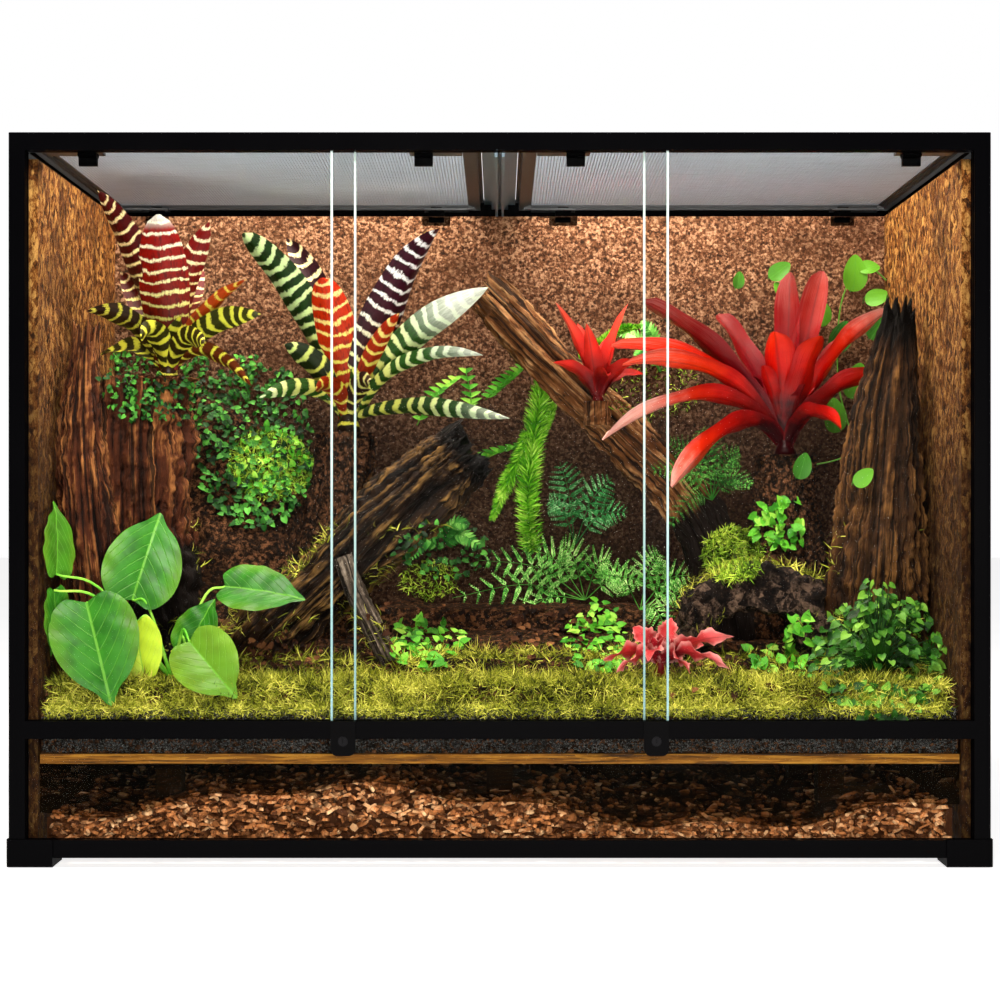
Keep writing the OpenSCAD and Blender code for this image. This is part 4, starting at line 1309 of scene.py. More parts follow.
@dataclass
class Rosette:
    """A bromeliad: strap leaves that leave a crown steeply and bend over to their tips.

    Each leaf is (tip x, y, z, width, rise, tone) from the crown, in millimetres.
    """

    name: str
    seat: Row
    crown: tuple[float, float]
    leaves: Sequence[Row]
    finish: Finish
    slot: str
    stations: int = 26
    across: int = 6
    young: int = 6
    ruffle: float = 1.5
    point: float = 0.5
    widest: float = 0.6
    fold: float = 0.3
    face: float = 0.55
    twist: float = 1.1
    teeth: float = 0.0
    taper: float = 1.7
    seed: int = 3

    def middle(self, leaf: Row, s: float) -> Vector:
        """The midline at share s, from the crown, in millimetres."""
        x, y, z, _, rise = leaf[:5]
        return (heading(x, y) * 7 * (1 - s) + Vector((0.3 * x, 0.3 * y, rise)) * (2 * s * (1 - s))
                + Vector((x, y, z)) * (s * s))

    def half(self, leaf: Row, s: float) -> float:
        """Half the leaf's width at share s."""
        w = self.widest
        full = leaf[3] / 2 * (1 + self.teeth * ((s * 9) % 1 - 0.5))
        if s > w:
            return full * max(0.004, 1 - ((s - w) / (1 - w)) ** 2) ** (self.point * (1 if leaf[3] > 50 else self.taper))
        return full * (0.42 + 0.58 * math.sin(s / w * math.pi / 2))

    def leaf(self, growth: Growth, leaf: Row, root: Vector, rng: random.Random) -> None:
        """Adds one leaf as a cupped sheet with a wavy margin."""
        rows, spots = [], []
        way = heading(leaf[0], leaf[1])
        flat = UP.cross(way)
        phase, turn = rng.uniform(0, 6), rng.uniform(-self.twist, self.twist)
        run, last = 0.0, None
        for i in range(self.stations + 1):
            s = i / self.stations
            at = self.middle(leaf, s)
            ahead = (self.middle(leaf, s + 0.01) - self.middle(leaf, s - 0.01)).normalized()
            facing = Vector((ahead.z, 0, -ahead.x)).normalized() * (-1 if way.y > 0 else 1)
            side = (flat * (1 - self.face) + facing * self.face).normalized()
            side.rotate(Matrix.Rotation(turn * s * s, 3, ahead))
            up = ahead.cross(side).normalized()
            half = self.half(leaf, s)
            run += (at - last).length if last else 0.0
            last = at
            row = []
            for k in range(self.across + 1):
                u = 2 * k / self.across - 1
                wave = self.ruffle * math.sin(s * 17 + phase + (2 if u > 0 else 0)) * u * u
                cup = half * self.fold * abs(u) ** 1.3 + wave * min(1, half / 12)
                row.append(root + (at + side * (u * half) + up * cup) * MM)
            rows.append(row)
            spots.append([(2 * k / self.across - 1, run * MM) for k in range(self.across + 1)])
        growth.grid(rows, spots, leaf[5])

    def build(self) -> None:
        """Makes the crown and all leaves."""
        rng = random.Random(self.seed)
        growth = Growth(self.name)
        radius, height = self.crown
        seat = mm(*self.seat)
        root = seat + mm(0, 0, height * 0.55)
        tube(growth, [seat, seat + mm(0, 0, height * 0.5), seat + mm(0, 0, height)],
             lambda share, _: radius * (0.7 - 0.4 * share) * MM, 20, 0.3)
        for leaf in self.leaves:
            self.leaf(growth, leaf, root, rng)
        reach = sum(Vector(l[:3]).length for l in self.leaves) / len(self.leaves)
        for i in range(self.young):
            turn = i * GOLDEN + self.seed
            size = reach * rng.uniform(0.3, 0.5)
            tip = (math.cos(turn) * size * 0.45, math.sin(turn) * size * 0.45, size)
            self.leaf(growth, (*tip, self.leaves[0][3] * 0.6, size * 0.6, rng.random()), root, rng)
        growth.piece(self.finish, "frame", [self.name_of_node()], self.slot)

    def name_of_node(self) -> str:
        """The CAD node that the plant stands for."""
        return self.name.removesuffix("_plant")


ROSETTES = (
    Rosette("bromeliad_left_plant", (-446, -62, 616), (22, 24), (
        (-92, -20, 240, 46, 150, 0.24), (-9, -34, 206, 68, 90, 0.0), (56, -6, 200, 34, 140, 0.1),
        (111, -44, 119, 28, 75, 0.5), (131, -60, 71, 32, 75, 0.9), (-98, -62, 75, 34, 80, 0.75),
        (118, -50, -24, 26, 60, 0.7), (-76, 64, 140, 34, 80, 0.2), (34, 84, 150, 36, 90, 0.1),
        (-100, 24, 20, 32, 50, 0.85), (62, -100, 30, 30, 60, 0.8), (-24, -84, 40, 34, 66, 0.85)),
        BANDED, "leaf_banded", young=3, fold=0.4),
    Rosette("bromeliad_tall_plant", (-214, 84, 550), (27, 33), (
        (-148, -20, 261, 54, 165, 0.82), (-34, -50, 196, 58, 115, 0.55), (112, 20, 272, 38, 170, 0.3),
        (130, -50, 264, 70, 150, 0.0), (198, -40, 184, 46, 120, 0.95), (191, -70, 87, 24, 110, 1.0),
        (76, -80, 145, 26, 90, 0.5), (-92, 40, 262, 40, 190, 0.2), (-121, -50, 29, 26, 70, 1.0),
        (-89, -20, 106, 38, 80, 0.8), (228, -60, 0, 26, 34, 0.9), (-40, -84, 40, 30, 60, 0.5),
        (36, -90, 50, 30, 60, 0.1), (44, 92, 190, 38, 100, 0.2), (-60, 70, 180, 38, 100, 0.3)),
        PURPLE, "leaf_purple", young=3, fold=0.45),
    Rosette("bromeliad_red_plant", (404, 84, 518), (24, 26), (
        (146, -10, 190, 38, 130, 0.49), (132, -56, 100, 38, 84, 0.0), (-21, -48, 157, 46, 80, 0.1),
        (42, -60, 150, 44, 84, 0.0), (-205, -46, 199, 42, 124, 0.9), (-250, -70, 136, 36, 136, 0.3),
        (-236, -104, 107, 34, 140, 0.2), (-262, -90, 5, 40, 128, 0.6), (-170, -120, -60, 42, 80, 0.55),
        (57, 30, 250, 40, 104, 0.85), (14, 50, 250, 38, 110, 0.95), (-90, 60, 190, 38, 110, 1.0),
        (90, 36, 150, 38, 90, 0.75), (60, -120, 20, 34, 70, 0.3)),
        RED_LEAF, "leaf_red", young=5, ruffle=3.0, point=0.3,
        widest=0.72, fold=0.5, face=0.45, twist=0.6, taper=1.15),
    Rosette("bromeliad_small_plant", (138, 58, 594), (13, 14), (
        (-60, -8, 130, 26, 66, 0.1), (-18, -40, 98, 26, 50, 0.3), (43, 10, 130, 26, 70, 0.2),
        (-64, -36, 44, 24, 40, 0.4), (54, -46, 46, 24, 40, 0.1), (20, 50, 90, 24, 56, 0.6),
        (-28, 30, 104, 22, 60, 0.7), (10, -66, 24, 22, 40, 0.2), (66, 10, 30, 22, 36, 0.5)),
        CORAL_LEAF, "leaf_red", young=2, point=0.55, widest=0.4, fold=0.6, face=0.4, twist=0.4),
    Rosette("earth_star_plant", (206, -196, 222), (13, 44), (
        (-74, -20, 4, 32, 26, 0.1), (-60, -62, -8, 32, 26, 0.3), (-34, 20, 44, 30, 34, 0.2),
        (18, 30, 56, 30, 34, 0.5), (94, -10, 34, 30, 34, 0.1), (84, -50, -4, 30, 30, 0.2),
        (34, -56, -10, 32, 26, 0.4), (-20, -62, 6, 30, 34, 0.2), (60, 36, 20, 28, 30, 0.6)),
        PINK_LEAF, "leaf_pink", young=7, ruffle=7.0, point=0.55, widest=0.4, fold=0.2, face=0.4,
        teeth=0.4),
)


@dataclass
class Hearts:
    """Broad heart leaves on arching stalks.

    Each leaf is (x, y, z, width, length, roll, turn, tilt, tone) at its stalk's end. Roll is the way
    of its tip, 0 for down and 90 for right, turn swings it about Z and tilt leans its face up.
    """

    root: Row = (-420, -196, 222)
    leaves: Sequence[Row] = (
        (-470, -206, 327, 100, 124, 163, 10, 14, 0.1), (-352, -200, 344, 72, 104, 86, -12, 40, 0.2),
        (-520, -252, 326, 110, 132, 14, 8, 22, 0.3), (-461, -232, 300, 62, 88, 10, -8, 10, 0.9),
        (-398, -218, 262, 62, 74, 160, -20, 12, 0.05), (-392, -240, 276, 84, 96, 44, -10, 26, 0.5),
        (-556, -262, 362, 60, 92, 172, 62, 0, 0.4), (-558, -266, 342, 50, 84, 8, 64, 0, 0.2))
    rings: int = 16
    around: int = 64

    def outline(self, angle: float) -> tuple[float, float]:
        """The margin as shares of width and length."""
        notch = -0.14 * math.exp(-(angle / 0.28) ** 2) - 0.14 * math.exp(-((angle - 2 * math.pi) / 0.28) ** 2)
        tip = -0.13 * math.exp(-((angle - math.pi) / 0.22) ** 2)
        return (0.5 * math.sin(angle) * (1 + 0.12 * math.cos(angle)),
                0.5 * math.cos(angle) - 0.38 + notch + tip)

    def blade(self, growth: Growth, leaf: Row) -> None:
        """Adds one leaf, folded a little along its midrib and drooping to its tip."""
        x, y, z, wide, long, roll, turn, tilt, tone = leaf
        spin = (Matrix.Rotation(math.radians(turn), 3, "Z") @ Matrix.Rotation(math.radians(90 - tilt), 3, "X")
                @ Matrix.Rotation(math.radians(roll), 3, "Z"))
        rows, spots = [], []
        for r in range(self.rings + 1):
            share = r / self.rings
            row, marks = [], []
            for k in range(self.around):
                u, v = self.outline(2 * math.pi * k / self.around)
                u, v = u * share, v * share
                fold = abs(u) * wide * 0.3 - (v * v) * long * 0.16 - u * u * wide * 0.4
                rib = abs((abs(v) * 7 + u * u * 6.4 + abs(u) * 5.2) % 1 - 0.5)
                wave = (math.sin(v * 21 + u * 9) * 1.2 + rib * 1.6) * share
                row.append(mm(x, y, z) + spin @ mm(u * wide, v * long, fold + wave))
                marks.append((u * 2, -v))
            rows.append(row)
            spots.append(marks)
        growth.grid(rows, spots, tone, True)

    def build(self) -> None:
        """Makes leaves and stalks."""
        growth = Growth("heart_plant")
        stalks = Growth("heart_stalks")
        root = mm(*self.root)
        for leaf in self.leaves:
            self.blade(growth, leaf)
            end = mm(*leaf[:3])
            bow = root.lerp(end, 0.6) + mm(0, -4, 34)
            path = smooth_path([root, bow, end], 14)
            tube(stalks, path, lambda share, _: (2.3 - 0.9 * share) * MM, 8, 0.8)
        growth.piece(HEART, "frame", ["philodendron"], "leaf_green")
        stalks.piece(LIME_LEAF, "frame", (), "leaf_green")


@dataclass
class Leaflets:
    """Small oval or heart leaves on whatever carries them."""

    growth: Growth
    rng: random.Random

    def leaf(self, at: Vector, way: Vector, face: Vector, long: float, wide: float, notch: float = 0.12) -> None:
        """Adds a leaf of eight faces.

        Args:
            at: Where its stalk ends, in metres.
            way: The direction of its tip.
            face: The way its upper side looks.
            long: Its length in millimetres.
            wide: Its width in millimetres.
            notch: How deep its base is notched, as a share of its length.
        """
        side = way.cross(face).normalized()
        face = side.cross(way).normalized()
        rim = ((0, 0), (0.36, -notch), (0.5, 0.22), (0.38, 0.62), (0, 1),
               (-0.38, 0.62), (-0.5, 0.22), (-0.36, -notch))
        points = [at + (side * (u * wide) + way * (v * long) + face * (abs(u) * wide * 0.3 - v * v * long * 0.16)) * MM
                  for u, v in rim]
        middle = at + (way * (0.4 * long) - face * 0.03 * long) * MM
        spots = [(u * 2, v) for u, v in rim]
        self.growth.add([*points, middle], [(k, (k + 1) % 8, 8) for k in range(8)],
                        [*spots, (0, 0.4)], self.rng.random())

    def broad(self, at: Vector, way: Vector, face: Vector, long: float, wide: float) -> None:
        """Adds an oval leaf of four rings, folded along its midrib.

        Args:
            at: Where its stalk ends, in metres.
            way: The direction of its tip.
            face: The way its upper side looks.
            long: Its length in millimetres.
            wide: Its width in millimetres.
        """
        side = way.cross(face).normalized()
        face = side.cross(way).normalized()
        rows, spots = [], []
        for ring in range(5):
            share = ring / 4
            row, marks = [], []
            for k in range(24):
                a = 2 * math.pi * k / 24
                u = 0.5 * math.sin(a) * share * (1 - 0.12 * math.cos(a))
                v = 0.45 + (0.5 * math.cos(a) + 0.06 * max(0, math.cos(a)) ** 8) * share
                row.append(at + (side * (u * wide) + way * (v * long)
                                 + face * (u * u * wide * 0.3 - v * v * long * 0.2)) * MM)
                marks.append((u * 2, v))
            rows.append(row)
            spots.append(marks)
        self.growth.grid(rows, spots, self.rng.random(), True)

    def strand(self, at: Vector, way: Vector, long: float, wide: float, curl: float = 0.3) -> None:
        """Adds a thin bent strand of three faces."""
        side = way.orthogonal().normalized()
        side.rotate(Matrix.Rotation(self.rng.uniform(0, 6.3), 3, way))
        bend = side.cross(way).normalized() * curl
        half = wide / 2 * MM
        a, b = at, at + (way * 0.55 + bend * 0.3) * (long * MM)
        tip = at + (way * 0.9 + bend) * (long * MM)
        self.growth.add([a - side * half, a + side * half, b + side * half, b - side * half, tip],
                        [(0, 1, 2, 3), (3, 2, 4)], None, self.rng.random())


@dataclass
class Fern:
    """Fronds from one root. Each frond is (tip x, y and depth seen from the camera, width)."""

    root: tuple[float, float]
    fronds: Sequence[Row]
    finish: Finish
    pairs: int = 9
    double: bool = True
    arch: float = 22.0

    def frond(self, leaves: Leaflets, root: Vector, tip: Vector, wide: float) -> None:
        """Adds one frond of paired leaflets along an arching rib."""
        bow = root.lerp(tip, 0.45) + mm(0, -self.arch * 0.4, self.arch)
        path = smooth_path([root, bow, tip], self.pairs + 4)
        tube(leaves.growth, path, lambda share, _: (0.9 - 0.6 * share) * MM, 4, 0.2, False)
        for i in range(3, len(path) - 1):
            s = i / (len(path) - 1)
            ahead = (path[i + 1] - path[i - 1]).normalized()
            side = ahead.cross(Vector((0, -0.85, 0.5))).normalized()
            face = side.cross(ahead).normalized()
            size = wide * math.sin(math.pi * min(1, s * 0.86 + 0.12)) ** 0.8
            for hand in (1, -1):
                way = (side * hand + ahead * 0.55 - UP * 0.12).normalized()
                if not self.double:
                    leaves.leaf(path[i], way, face, size, size * 0.3 + 1.2, 0.0)
                    continue
                end, thin = path[i] + way * (size * MM), ahead * 0.5 * MM
                leaves.growth.add([path[i] - thin, path[i] + thin, end], [(0, 1, 2)], None, 0.4)
                steps = max(3, int(size / 3.4))
                for k in range(steps):
                    t = (k + 0.5) / steps
                    at = path[i] + way * (size * t * MM)
                    small = (1 - t * 0.6) * max(4.6, size * 0.27)
                    for wing in (1, -1):
                        to = (way + ahead * wing * 0.62).normalized()
                        tip_ = at + to * small * MM
                        off = to.cross(face).normalized() * small * 0.17 * MM
                        bow_ = at.lerp(tip_, 0.5) + face * small * 0.1 * MM
                        leaves.growth.add([at, bow_ + off, tip_, bow_ - off], [(0, 1, 2, 3)], None,
                                          leaves.rng.random())

    def build(self, leaves: Leaflets, eye: Eye, ground: Ground) -> None:
        """Roots the fern on what carries it and grows its fronds."""
        root, _ = eye.land(ground, *self.root)
        for x, y, out, wide in self.fronds:
            tip = eye.at(x, y, root.y / MM - out)
            self.frond(leaves, root, tip, wide)


FERNS: Sequence[Fern] = (
    Fern((575, 545), ((560, 462, 40, 30), (612, 478, 30, 30), (628, 512, 40, 28), (548, 500, 30, 26)),
         FERN_TEAL, 8),
    Fern((585, 600), ((452, 598, 60, 34), (478, 560, 50, 36), (520, 545, 50, 34), (560, 542, 50, 32),
                      (610, 560, 50, 32), (650, 582, 50, 32), (500, 628, 60, 28)), FERN_LIGHT, 8),
    Fern((640, 610), ((600, 575, 40, 28), (660, 552, 40, 30), (700, 575, 50, 30), (706, 606, 50, 26),
                      (672, 640, 50, 26)), FERN_LIGHT, 8),
    Fern((712, 500), ((650, 470, 50, 24), (668, 440, 40, 26), (700, 428, 40, 28), (740, 452, 40, 24),
                      (752, 486, 40, 22), (668, 528, 60, 20), (722, 470, 60, 22)), FERN_DARK, 10),
    Fern((660, 372), ((610, 330, 30, 15), (640, 322, 30, 16), (680, 352, 30, 14), (634, 356, 40, 14)),
         FERN_LIGHT, 15, False),
    Fern((440, 550), ((400, 520, 40, 18), (425, 512, 40, 18), (470, 525, 40, 16), (410, 560, 40, 16),
                      (482, 548, 40, 18)), FERN_DARK, 13, False),
)


@dataclass
class Undergrowth:
    """Ferns, clubmoss, creepers, mosses and litter between the larger plants."""

    eye: Eye
    ground: Ground
    seed: int = 21

    def start(self, name: str) -> Leaflets:
        """A new piece with its own seeded chance."""
        return Leaflets(Growth(name), random.Random(self.seed + len(name)))

    def ferns(self) -> None:
        """All ferns, one piece for each finish."""
        for finish in (FERN_TEAL, FERN_LIGHT, FERN_DARK):
            leaves = self.start(finish.name)
            for fern in FERNS:
                if fern.finish is finish:
                    fern.build(leaves, self.eye, self.ground)
            leaves.growth.piece(finish, "frame", (), "leaf_green")

    def clubmoss(self) -> None:
        """Bottle-brush stems of soft needles."""
        leaves = self.start("clubmoss")
        stems = (((545, 360, 60), (540, 400, 80), (532, 450, 90), (528, 500, 90), (532, 552, 40), 26),
                 ((492, 520, 60), (508, 480, 80), (524, 450, 90), (530, 430, 90), 18),
                 ((556, 398, 40), (548, 420, 60), (540, 440, 80), 10),
                 ((640, 326, 20), (620, 330, 20), (598, 344, 10), (580, 360, 0), 11))
        for *marks, needle in stems:
            path = smooth_path([self.eye.at(x, y, 200 - out) for x, y, out in marks], 40 * (len(marks) - 1))
            tube(leaves.growth, path, lambda share, _: 1.3 * MM, 5, 0.1)
            for i in range(1, len(path)):
                way = (path[i - 1] - path[i]).normalized()
                for k in range(8):
                    out = way.orthogonal().normalized()
                    out.rotate(Matrix.Rotation(i * GOLDEN + k * 1.05, 3, way))
                    size = needle * min(1, 0.35 + 2.2 * min(i / len(path), 1 - i / len(path) + 0.3))
                    leaves.strand(path[i], (out + way * 0.65).normalized(), size, 2.1, 0.2)
        leaves.growth.piece(CLUB_GREEN, "frame", (), "leaf_green")

    def patch(self, leaves: Leaflets, box: Row, count: int, size: Row, hang: float = 0.3) -> None:
        """Scatters round leaves over a part of the ground, as seen by the camera.

        Args:
            leaves: Where the leaves go.
            box: Left, top, right and bottom of an oval, in pixels.
            count: How many leaves.
            size: The least and greatest length in millimetres.
            hang: How far the tips turn down.
        """
        x0, y0, x1, y1 = box
        for _ in range(count):
            turn, out = leaves.rng.uniform(0, 6.3), math.sqrt(leaves.rng.random()) / 2
            x = (x0 + x1) / 2 + math.cos(turn) * out * (x1 - x0)
            y = (y0 + y1) / 2 + math.sin(turn) * out * (y1 - y0)
            at, normal = self.eye.land(self.ground, x, y)
            long = leaves.rng.uniform(*size)
            way = Vector((leaves.rng.gauss(0, 1), leaves.rng.gauss(0, 0.4), leaves.rng.gauss(-hang, 0.7)))
            way = (way - normal * way.dot(normal) * 0.8 + normal * 0.3).normalized()
            face = (normal * 0.7 + Vector((leaves.rng.gauss(0, 0.3), -0.5, 0.5))).normalized()
            lift = at + normal * leaves.rng.uniform(1, 9) * MM
            leaves.leaf(lift, way, face, long, long * leaves.rng.uniform(0.7, 0.95))

    def creepers(self) -> None:
        """Ivy on the bank, round leaves by the red plant and the fig at the lower right."""
        ivy = self.start("ivy")
        self.patch(ivy, (196, 355, 312, 530), 760, (5, 11))
        self.patch(ivy, (100, 335, 215, 425), 460, (4, 9))
        self.patch(ivy, (395, 520, 495, 580), 110, (6, 11))
        ivy.growth.piece(IVY_GREEN, "frame", (), "leaf_green")
        lime = self.start("lime_leaves")
        for box, count, size in (((388, 618, 462, 672), 90, (9, 18)), ((566, 605, 628, 682), 110, (8, 15)),
                                 ((755, 498, 810, 548), 70, (9, 17)), ((232, 430, 312, 495), 120, (6, 12)),
                                 ((745, 640, 785, 676), 12, (14, 20)), ((784, 614, 820, 688), 40, (12, 18))):
            self.patch(lime, box, count, size)
        round_leaves = self.start("round_leaves")
        for x, y, size, turn in ((735, 290, 18, 0.2), (768, 280, 26, 0.9), (782, 300, 20, -0.5), (803, 318, 28, 0.5),
                                 (822, 326, 34, -0.4), (850, 292, 38, 0.1), (863, 303, 26, 1.2), (832, 352, 34, 0.4),
                                 (848, 398, 38, 0.3), (832, 432, 36, 0.0), (796, 478, 26, 0.3), (856, 270, 22, 1.5),
                                 (812, 410, 30, -0.6), (868, 340, 30, 0.5), (852, 485, 22, 0.8)):
            at, _ = self.eye.land(self.ground, x, y)
            end = at + mm(0, -30, 0)
            path = smooth_path([at, at.lerp(end, 0.5) + mm(0, 0, 8), end], 6)
            tube(round_leaves.growth, path, lambda share, _: 0.9 * MM, 5, 0.8)
            round_leaves.broad(end, Vector((math.sin(turn), -0.2, math.cos(turn))).normalized(),
                               Vector((0.2, -0.9, 0.3)), size * 1.35, size)
        vine = smooth_path([self.eye.at(x, y, 236) for x, y in ((905, 300), (868, 268), (842, 300), (838, 380),
                                                               (850, 450), (800, 470), (786, 500))], 60)
        tube(round_leaves.growth, vine, lambda share, _: 1.1 * MM, 5, 0.9)
        round_leaves.growth.piece(ROUND_LEAF, "frame", (), "leaf_green")
        for marks in (((417, 425, 40), (432, 398, 50), (455, 380, 40)), ((440, 410, 40), (470, 405, 50), (466, 372, 40)),
                      ((485, 400, 30), (503, 384, 40), (522, 368, 40)), ((470, 468, 30), (490, 455, 40), (520, 447, 40))):
            path = smooth_path([self.eye.at(x, y, 190 - out) for x, y, out in marks], 10)
            tube(lime.growth, path, lambda share, _: 0.9 * MM, 4, 0.2)
            for i, at in enumerate(path[1:]):
                for hand in (-1, 1):
                    way = Vector((hand * 0.9, -0.2, 0.35 + 0.03 * i)).normalized()
                    lime.leaf(at, way, Vector((0, -0.8, 0.6)), 17 - abs(i - 4) * 1.2, 8, 0.02)
        lime.growth.piece(LIME_LEAF, "frame", (), "leaf_green")
        fig = self.start("fig")
        self.patch(fig, (815, 592, 948, 722), 620, (6, 13))
        root = mm(486, -196, 222)
        for i in range(170):
            turn, up = i * GOLDEN, (126 - 0.62 * i) * fig.rng.uniform(0.75, 1.05)
            wide = fig.rng.uniform(0.55, 1.15)
            at = root + mm(math.cos(turn) * (20 + 0.42 * i) * wide, math.sin(turn) * (10 + 0.2 * i) * wide, up)
            way = Vector((math.cos(turn), math.sin(turn) * 0.6 - 0.3, -0.45)).normalized()
            size = fig.rng.uniform(8, 16)
            fig.leaf(at, way, Vector((fig.rng.gauss(0, 0.4), -0.5, 0.8)), size, size * 0.9)
            tube(fig.growth, [root, root.lerp(at, 0.5) + mm(0, 0, 16), at], lambda share, _: 0.8 * MM, 4, 0.1)
        fig.growth.piece(FIG_GREEN, "frame", ["creeping_fig"], "leaf_fig")

    def mosses(self) -> None:
        """A loose carpet over the front steps and cushions on the wood."""
        carpet = self.start("moss_carpet")
        rng = carpet.rng
        for i in range(64000):
            x, y = rng.uniform(-566, 560), rng.uniform(-277, -240) if i % 2 else rng.uniform(-262, 10)
            thick = noise.noise(Vector((x, y, 0)) * 0.02) * 0.5 + 0.5
            if rng.random() > 0.5 + thick * 0.8 - max(0, y + 130) / 150:
                continue
            hit = self.ground.cast(mm(x, y, 420 if y > -100 else 300), Vector((0, 0, -1)))
            if hit is None or hit[1].z < 0.1:
                continue
            clump = noise.noise(Vector((x, y, 7)) * 0.05) + noise.noise(Vector((x, y, 9)) * 0.12) * 0.6
            way = Vector((rng.gauss(0, 1.1), rng.gauss(-0.1, 0.7), 0.35)).normalized()
            reach = min(rng.uniform(7, 17) * (0.5 + thick), (y + 281) * 1.2)
            carpet.strand(hit[0] + mm(0, 0, max(0, clump) * 14 * rng.random()), way, reach, rng.uniform(0.8, 1.5), 1.0)
        for _ in range(9000):
            at = mm(rng.uniform(-566, 560), rng.uniform(-280.6, -277), rng.triangular(183, 198, 194))
            way = Vector((rng.gauss(0, 1), 0, rng.gauss(-0.1, 0.7))).normalized()
            carpet.strand(at, way, rng.uniform(5, 10), rng.uniform(0.8, 1.3), 0.02)
        carpet.growth.piece(MOSS_GOLD, "frame", (), "leaf_green")
        bright = self.start("moss_cushions")
        for box, count, size in (((228, 430, 312, 500), 2600, 9), ((702, 526, 764, 582), 2200, 10),
                                 ((600, 360, 700, 420), 300, 8), ((400, 560, 460, 600), 500, 8)):
            for _ in range(count):
                turn, out = bright.rng.uniform(0, 6.3), math.sqrt(bright.rng.random()) / 2
                at, normal = self.eye.land(self.ground, (box[0] + box[2]) / 2 + math.cos(turn) * out * (box[2] - box[0]),
                                           (box[1] + box[3]) / 2 + math.sin(turn) * out * (box[3] - box[1]))
                way = (normal + Vector([bright.rng.gauss(0, 0.6) for _ in range(3)])).normalized()
                bright.strand(at, way, bright.rng.uniform(0.6, 1.4) * size, 1.3, 0.5)
        bright.growth.piece(MOSS_BRIGHT, "frame", (), "leaf_green")

    def litter(self) -> None:
        """Dry leaves and bark crumbs on the soil."""
        leaves = self.start("litter")
        for box, count in (((500, 605, 600, 665), 140), ((240, 632, 320, 675), 130), ((330, 600, 480, 660), 60),
                           ((600, 640, 800, 700), 70)):
            self.patch(leaves, box, count, (4, 12), 0.0)
        leaves.growth.piece(LITTER, "frame", (), "soil")

    def build(self) -> None:
        """Grows everything."""
        self.ferns()
        self.clubmoss()
        self.creepers()
        self.mosses()
        self.litter()


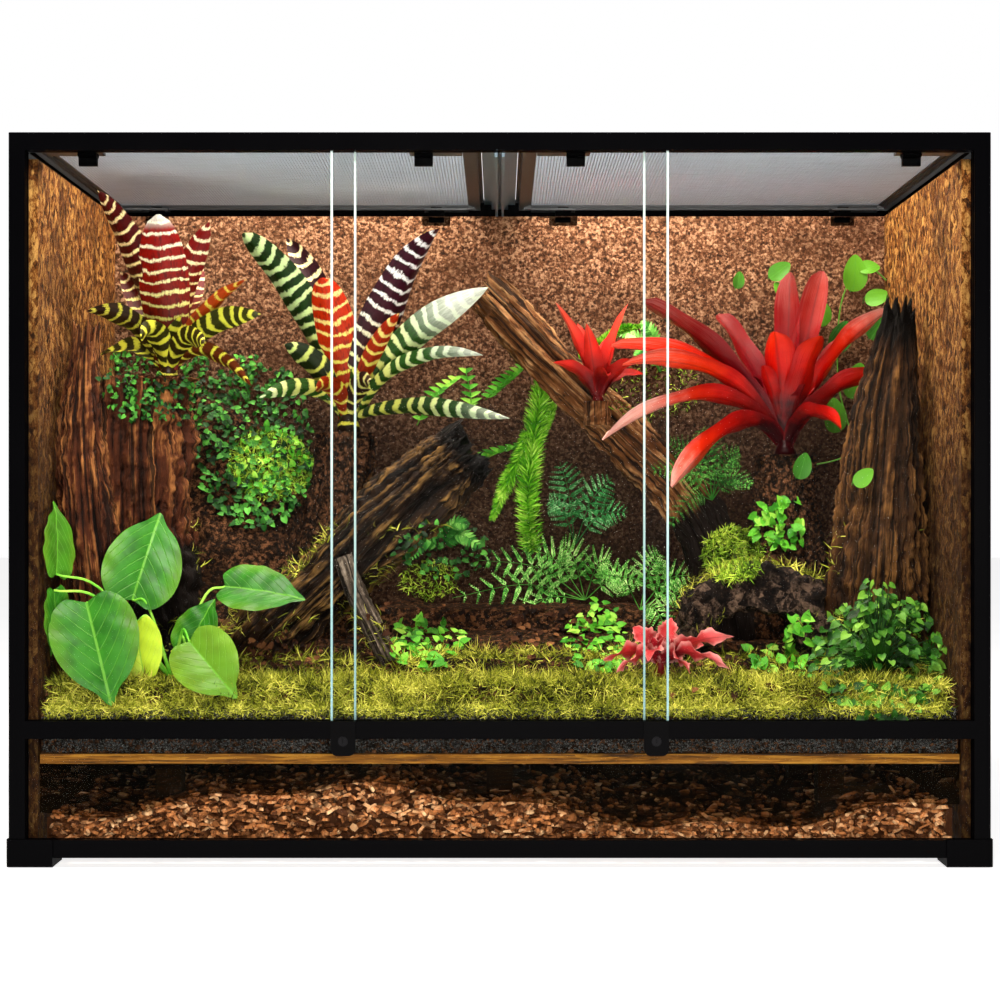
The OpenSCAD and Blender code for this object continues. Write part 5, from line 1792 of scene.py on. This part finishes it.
def woods() -> list[Wood]:
    """The wood of the landscape, in CAD places."""
    return [
        Wood("torn_stumps", (
            Log("left", ((-484, -84, 205), (-484, -84, 340), (-488, -82, 450), (-490, -80, 560), (-484, -78, 650)),
                (78, 73, 69, 71, 73), 130, 150, 0.24, 0.3, 14, 616, seed=3,
                soot=(0.3, 2.0)),
            Log("left_slab", ((-520, -160, 300), (-534, -172, 440), (-542, -162, 560), (-540, -152, 664)),
                (36, 32, 27, 14), 120, 90, 0.3, 0.42, 44, None, seed=9)),
             STUMP_RED, "stump", ("cork_stumps",)),
        Wood("root_pillars", (
            Log("mid", ((-252, 84, 240), (-242, 84, 350), (-228, 84, 450), (-218, 84, 580)),
                (48, 42, 36, 38), 80, 80, 0.3, 0.4, 6, 550, seed=5),
            Log("pillar", ((420, 84, 240), (412, 84, 380), (404, 84, 470), (404, 84, 560)),
                (48, 40, 34, 36), 80, 80, 0.3, 0.4, 6, 518, seed=6)),
             BANK_SOIL, "soil"),
        Wood("dark_stump", (
            Log("cone", ((500, -70, 210), (504, -70, 330), (512, -68, 450), (524, -66, 580), (538, -62, 705)),
                (64, 58, 50, 38, 16), 150, 130, 0.28, 0.34, 40, seed=7,
                soot=(-1.0, 0.86)),),
             STUMP_DARK, "stump"),
        Wood("trunk", (
            Log("trunk", ((-390, -62, 190), (-320, -62, 262), (-240, -61, 340), (-160, -59, 418),
                          (-92, -58, 482), (-46, -58, 520)),
                (46, 44, 42, 44, 46, 36), 150, 130, 0.34, 0.34, 44, seed=2,
                soot=(-1.0, 0.9)),), DRIFT_DARK, "driftwood",
             ("driftwood_trunk",)),
        Wood("log", (
            Log("log", ((336, 84, 230), (300, 86, 390), (256, 90, 469), (195, 96, 530), (136, 100, 588),
                        (60, 106, 662), (-14, 112, 740)),
                (34, 31, 30, 30, 30, 29, 26), 170, 110, 0.34, 0.42, 60, seed=4, flat=(1.15, 0.9),
                # Painted shade: the foot of the log, down in the dark cave, darkens.
                soot=(0.2, 2.0)),
            Log("stub", ((138, 67, 560), (138, 67, 576), (138, 67, 596)), (19, 19, 19), 12, 30,
                0.1, 0.1, 3, 594)),
             LOG_BROWN, "log", ("leaning_log",)),
        Wood("grey_twig", (
            Log("twig", ((-208, -110, 380), (-190, -112, 330), (-168, -114, 285), (-146, -116, 240)),
                (12, 13, 14, 14), 70, 44, 0.2, 0.3, 12),), TWIG_GREY, "driftwood"),
    ]


def main() -> None:
    """Loads the frame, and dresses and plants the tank."""
    logging.basicConfig(level=logging.INFO, format="%(name)s: %(message)s")
    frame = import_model()
    eye = Eye()
    eye.shoot()
    studio = Studio()
    studio.build()
    Tank(frame["nodes"]).build()
    nets = [Net(side).build() for side in ("left", "right")]
    tops = [node for name, node in frame["nodes"].items()
            if name.startswith(("screen_frame", "screen_corners", "centre_beam", "latch"))]
    studio.shield("ceiling", [*nets, *tops])
    ground = Ground()
    latches = [(x - 18, x + 18, 867) for x in (-514, -95, 95, 514)]
    CorkPanel("cork_wall_back", (-586, 251.5, 22), (1172, 0, 0), (0, 0, 857), (0, 29, 0),
              CORK_BACK, ("cork_back",), notches=latches).build(ground)
    CorkPanel("cork_wall_left", (-572, -281.5, 22), (0, 533, 0), (0, 0, 857), (-14, 0, 0),
              CORK_SIDE, ("cork_sides",)).build(ground)
    CorkPanel("cork_wall_right", (572, -281.5, 22), (0, 533, 0), (0, 0, 857), (14, 0, 0),
              CORK_SIDE).build(ground)
    SoilBed().build(ground)
    Bank().build(ground)
    for wood in woods():
        wood.build(ground)
    Boulder().build(frame["nodes"], ground)
    ChipBed().build()
    GravelFace().build()
    for plant in ROSETTES:
        plant.build()
    Hearts().build()
    Undergrowth(eye, ground).build()


if __name__ == "__main__":
    main()
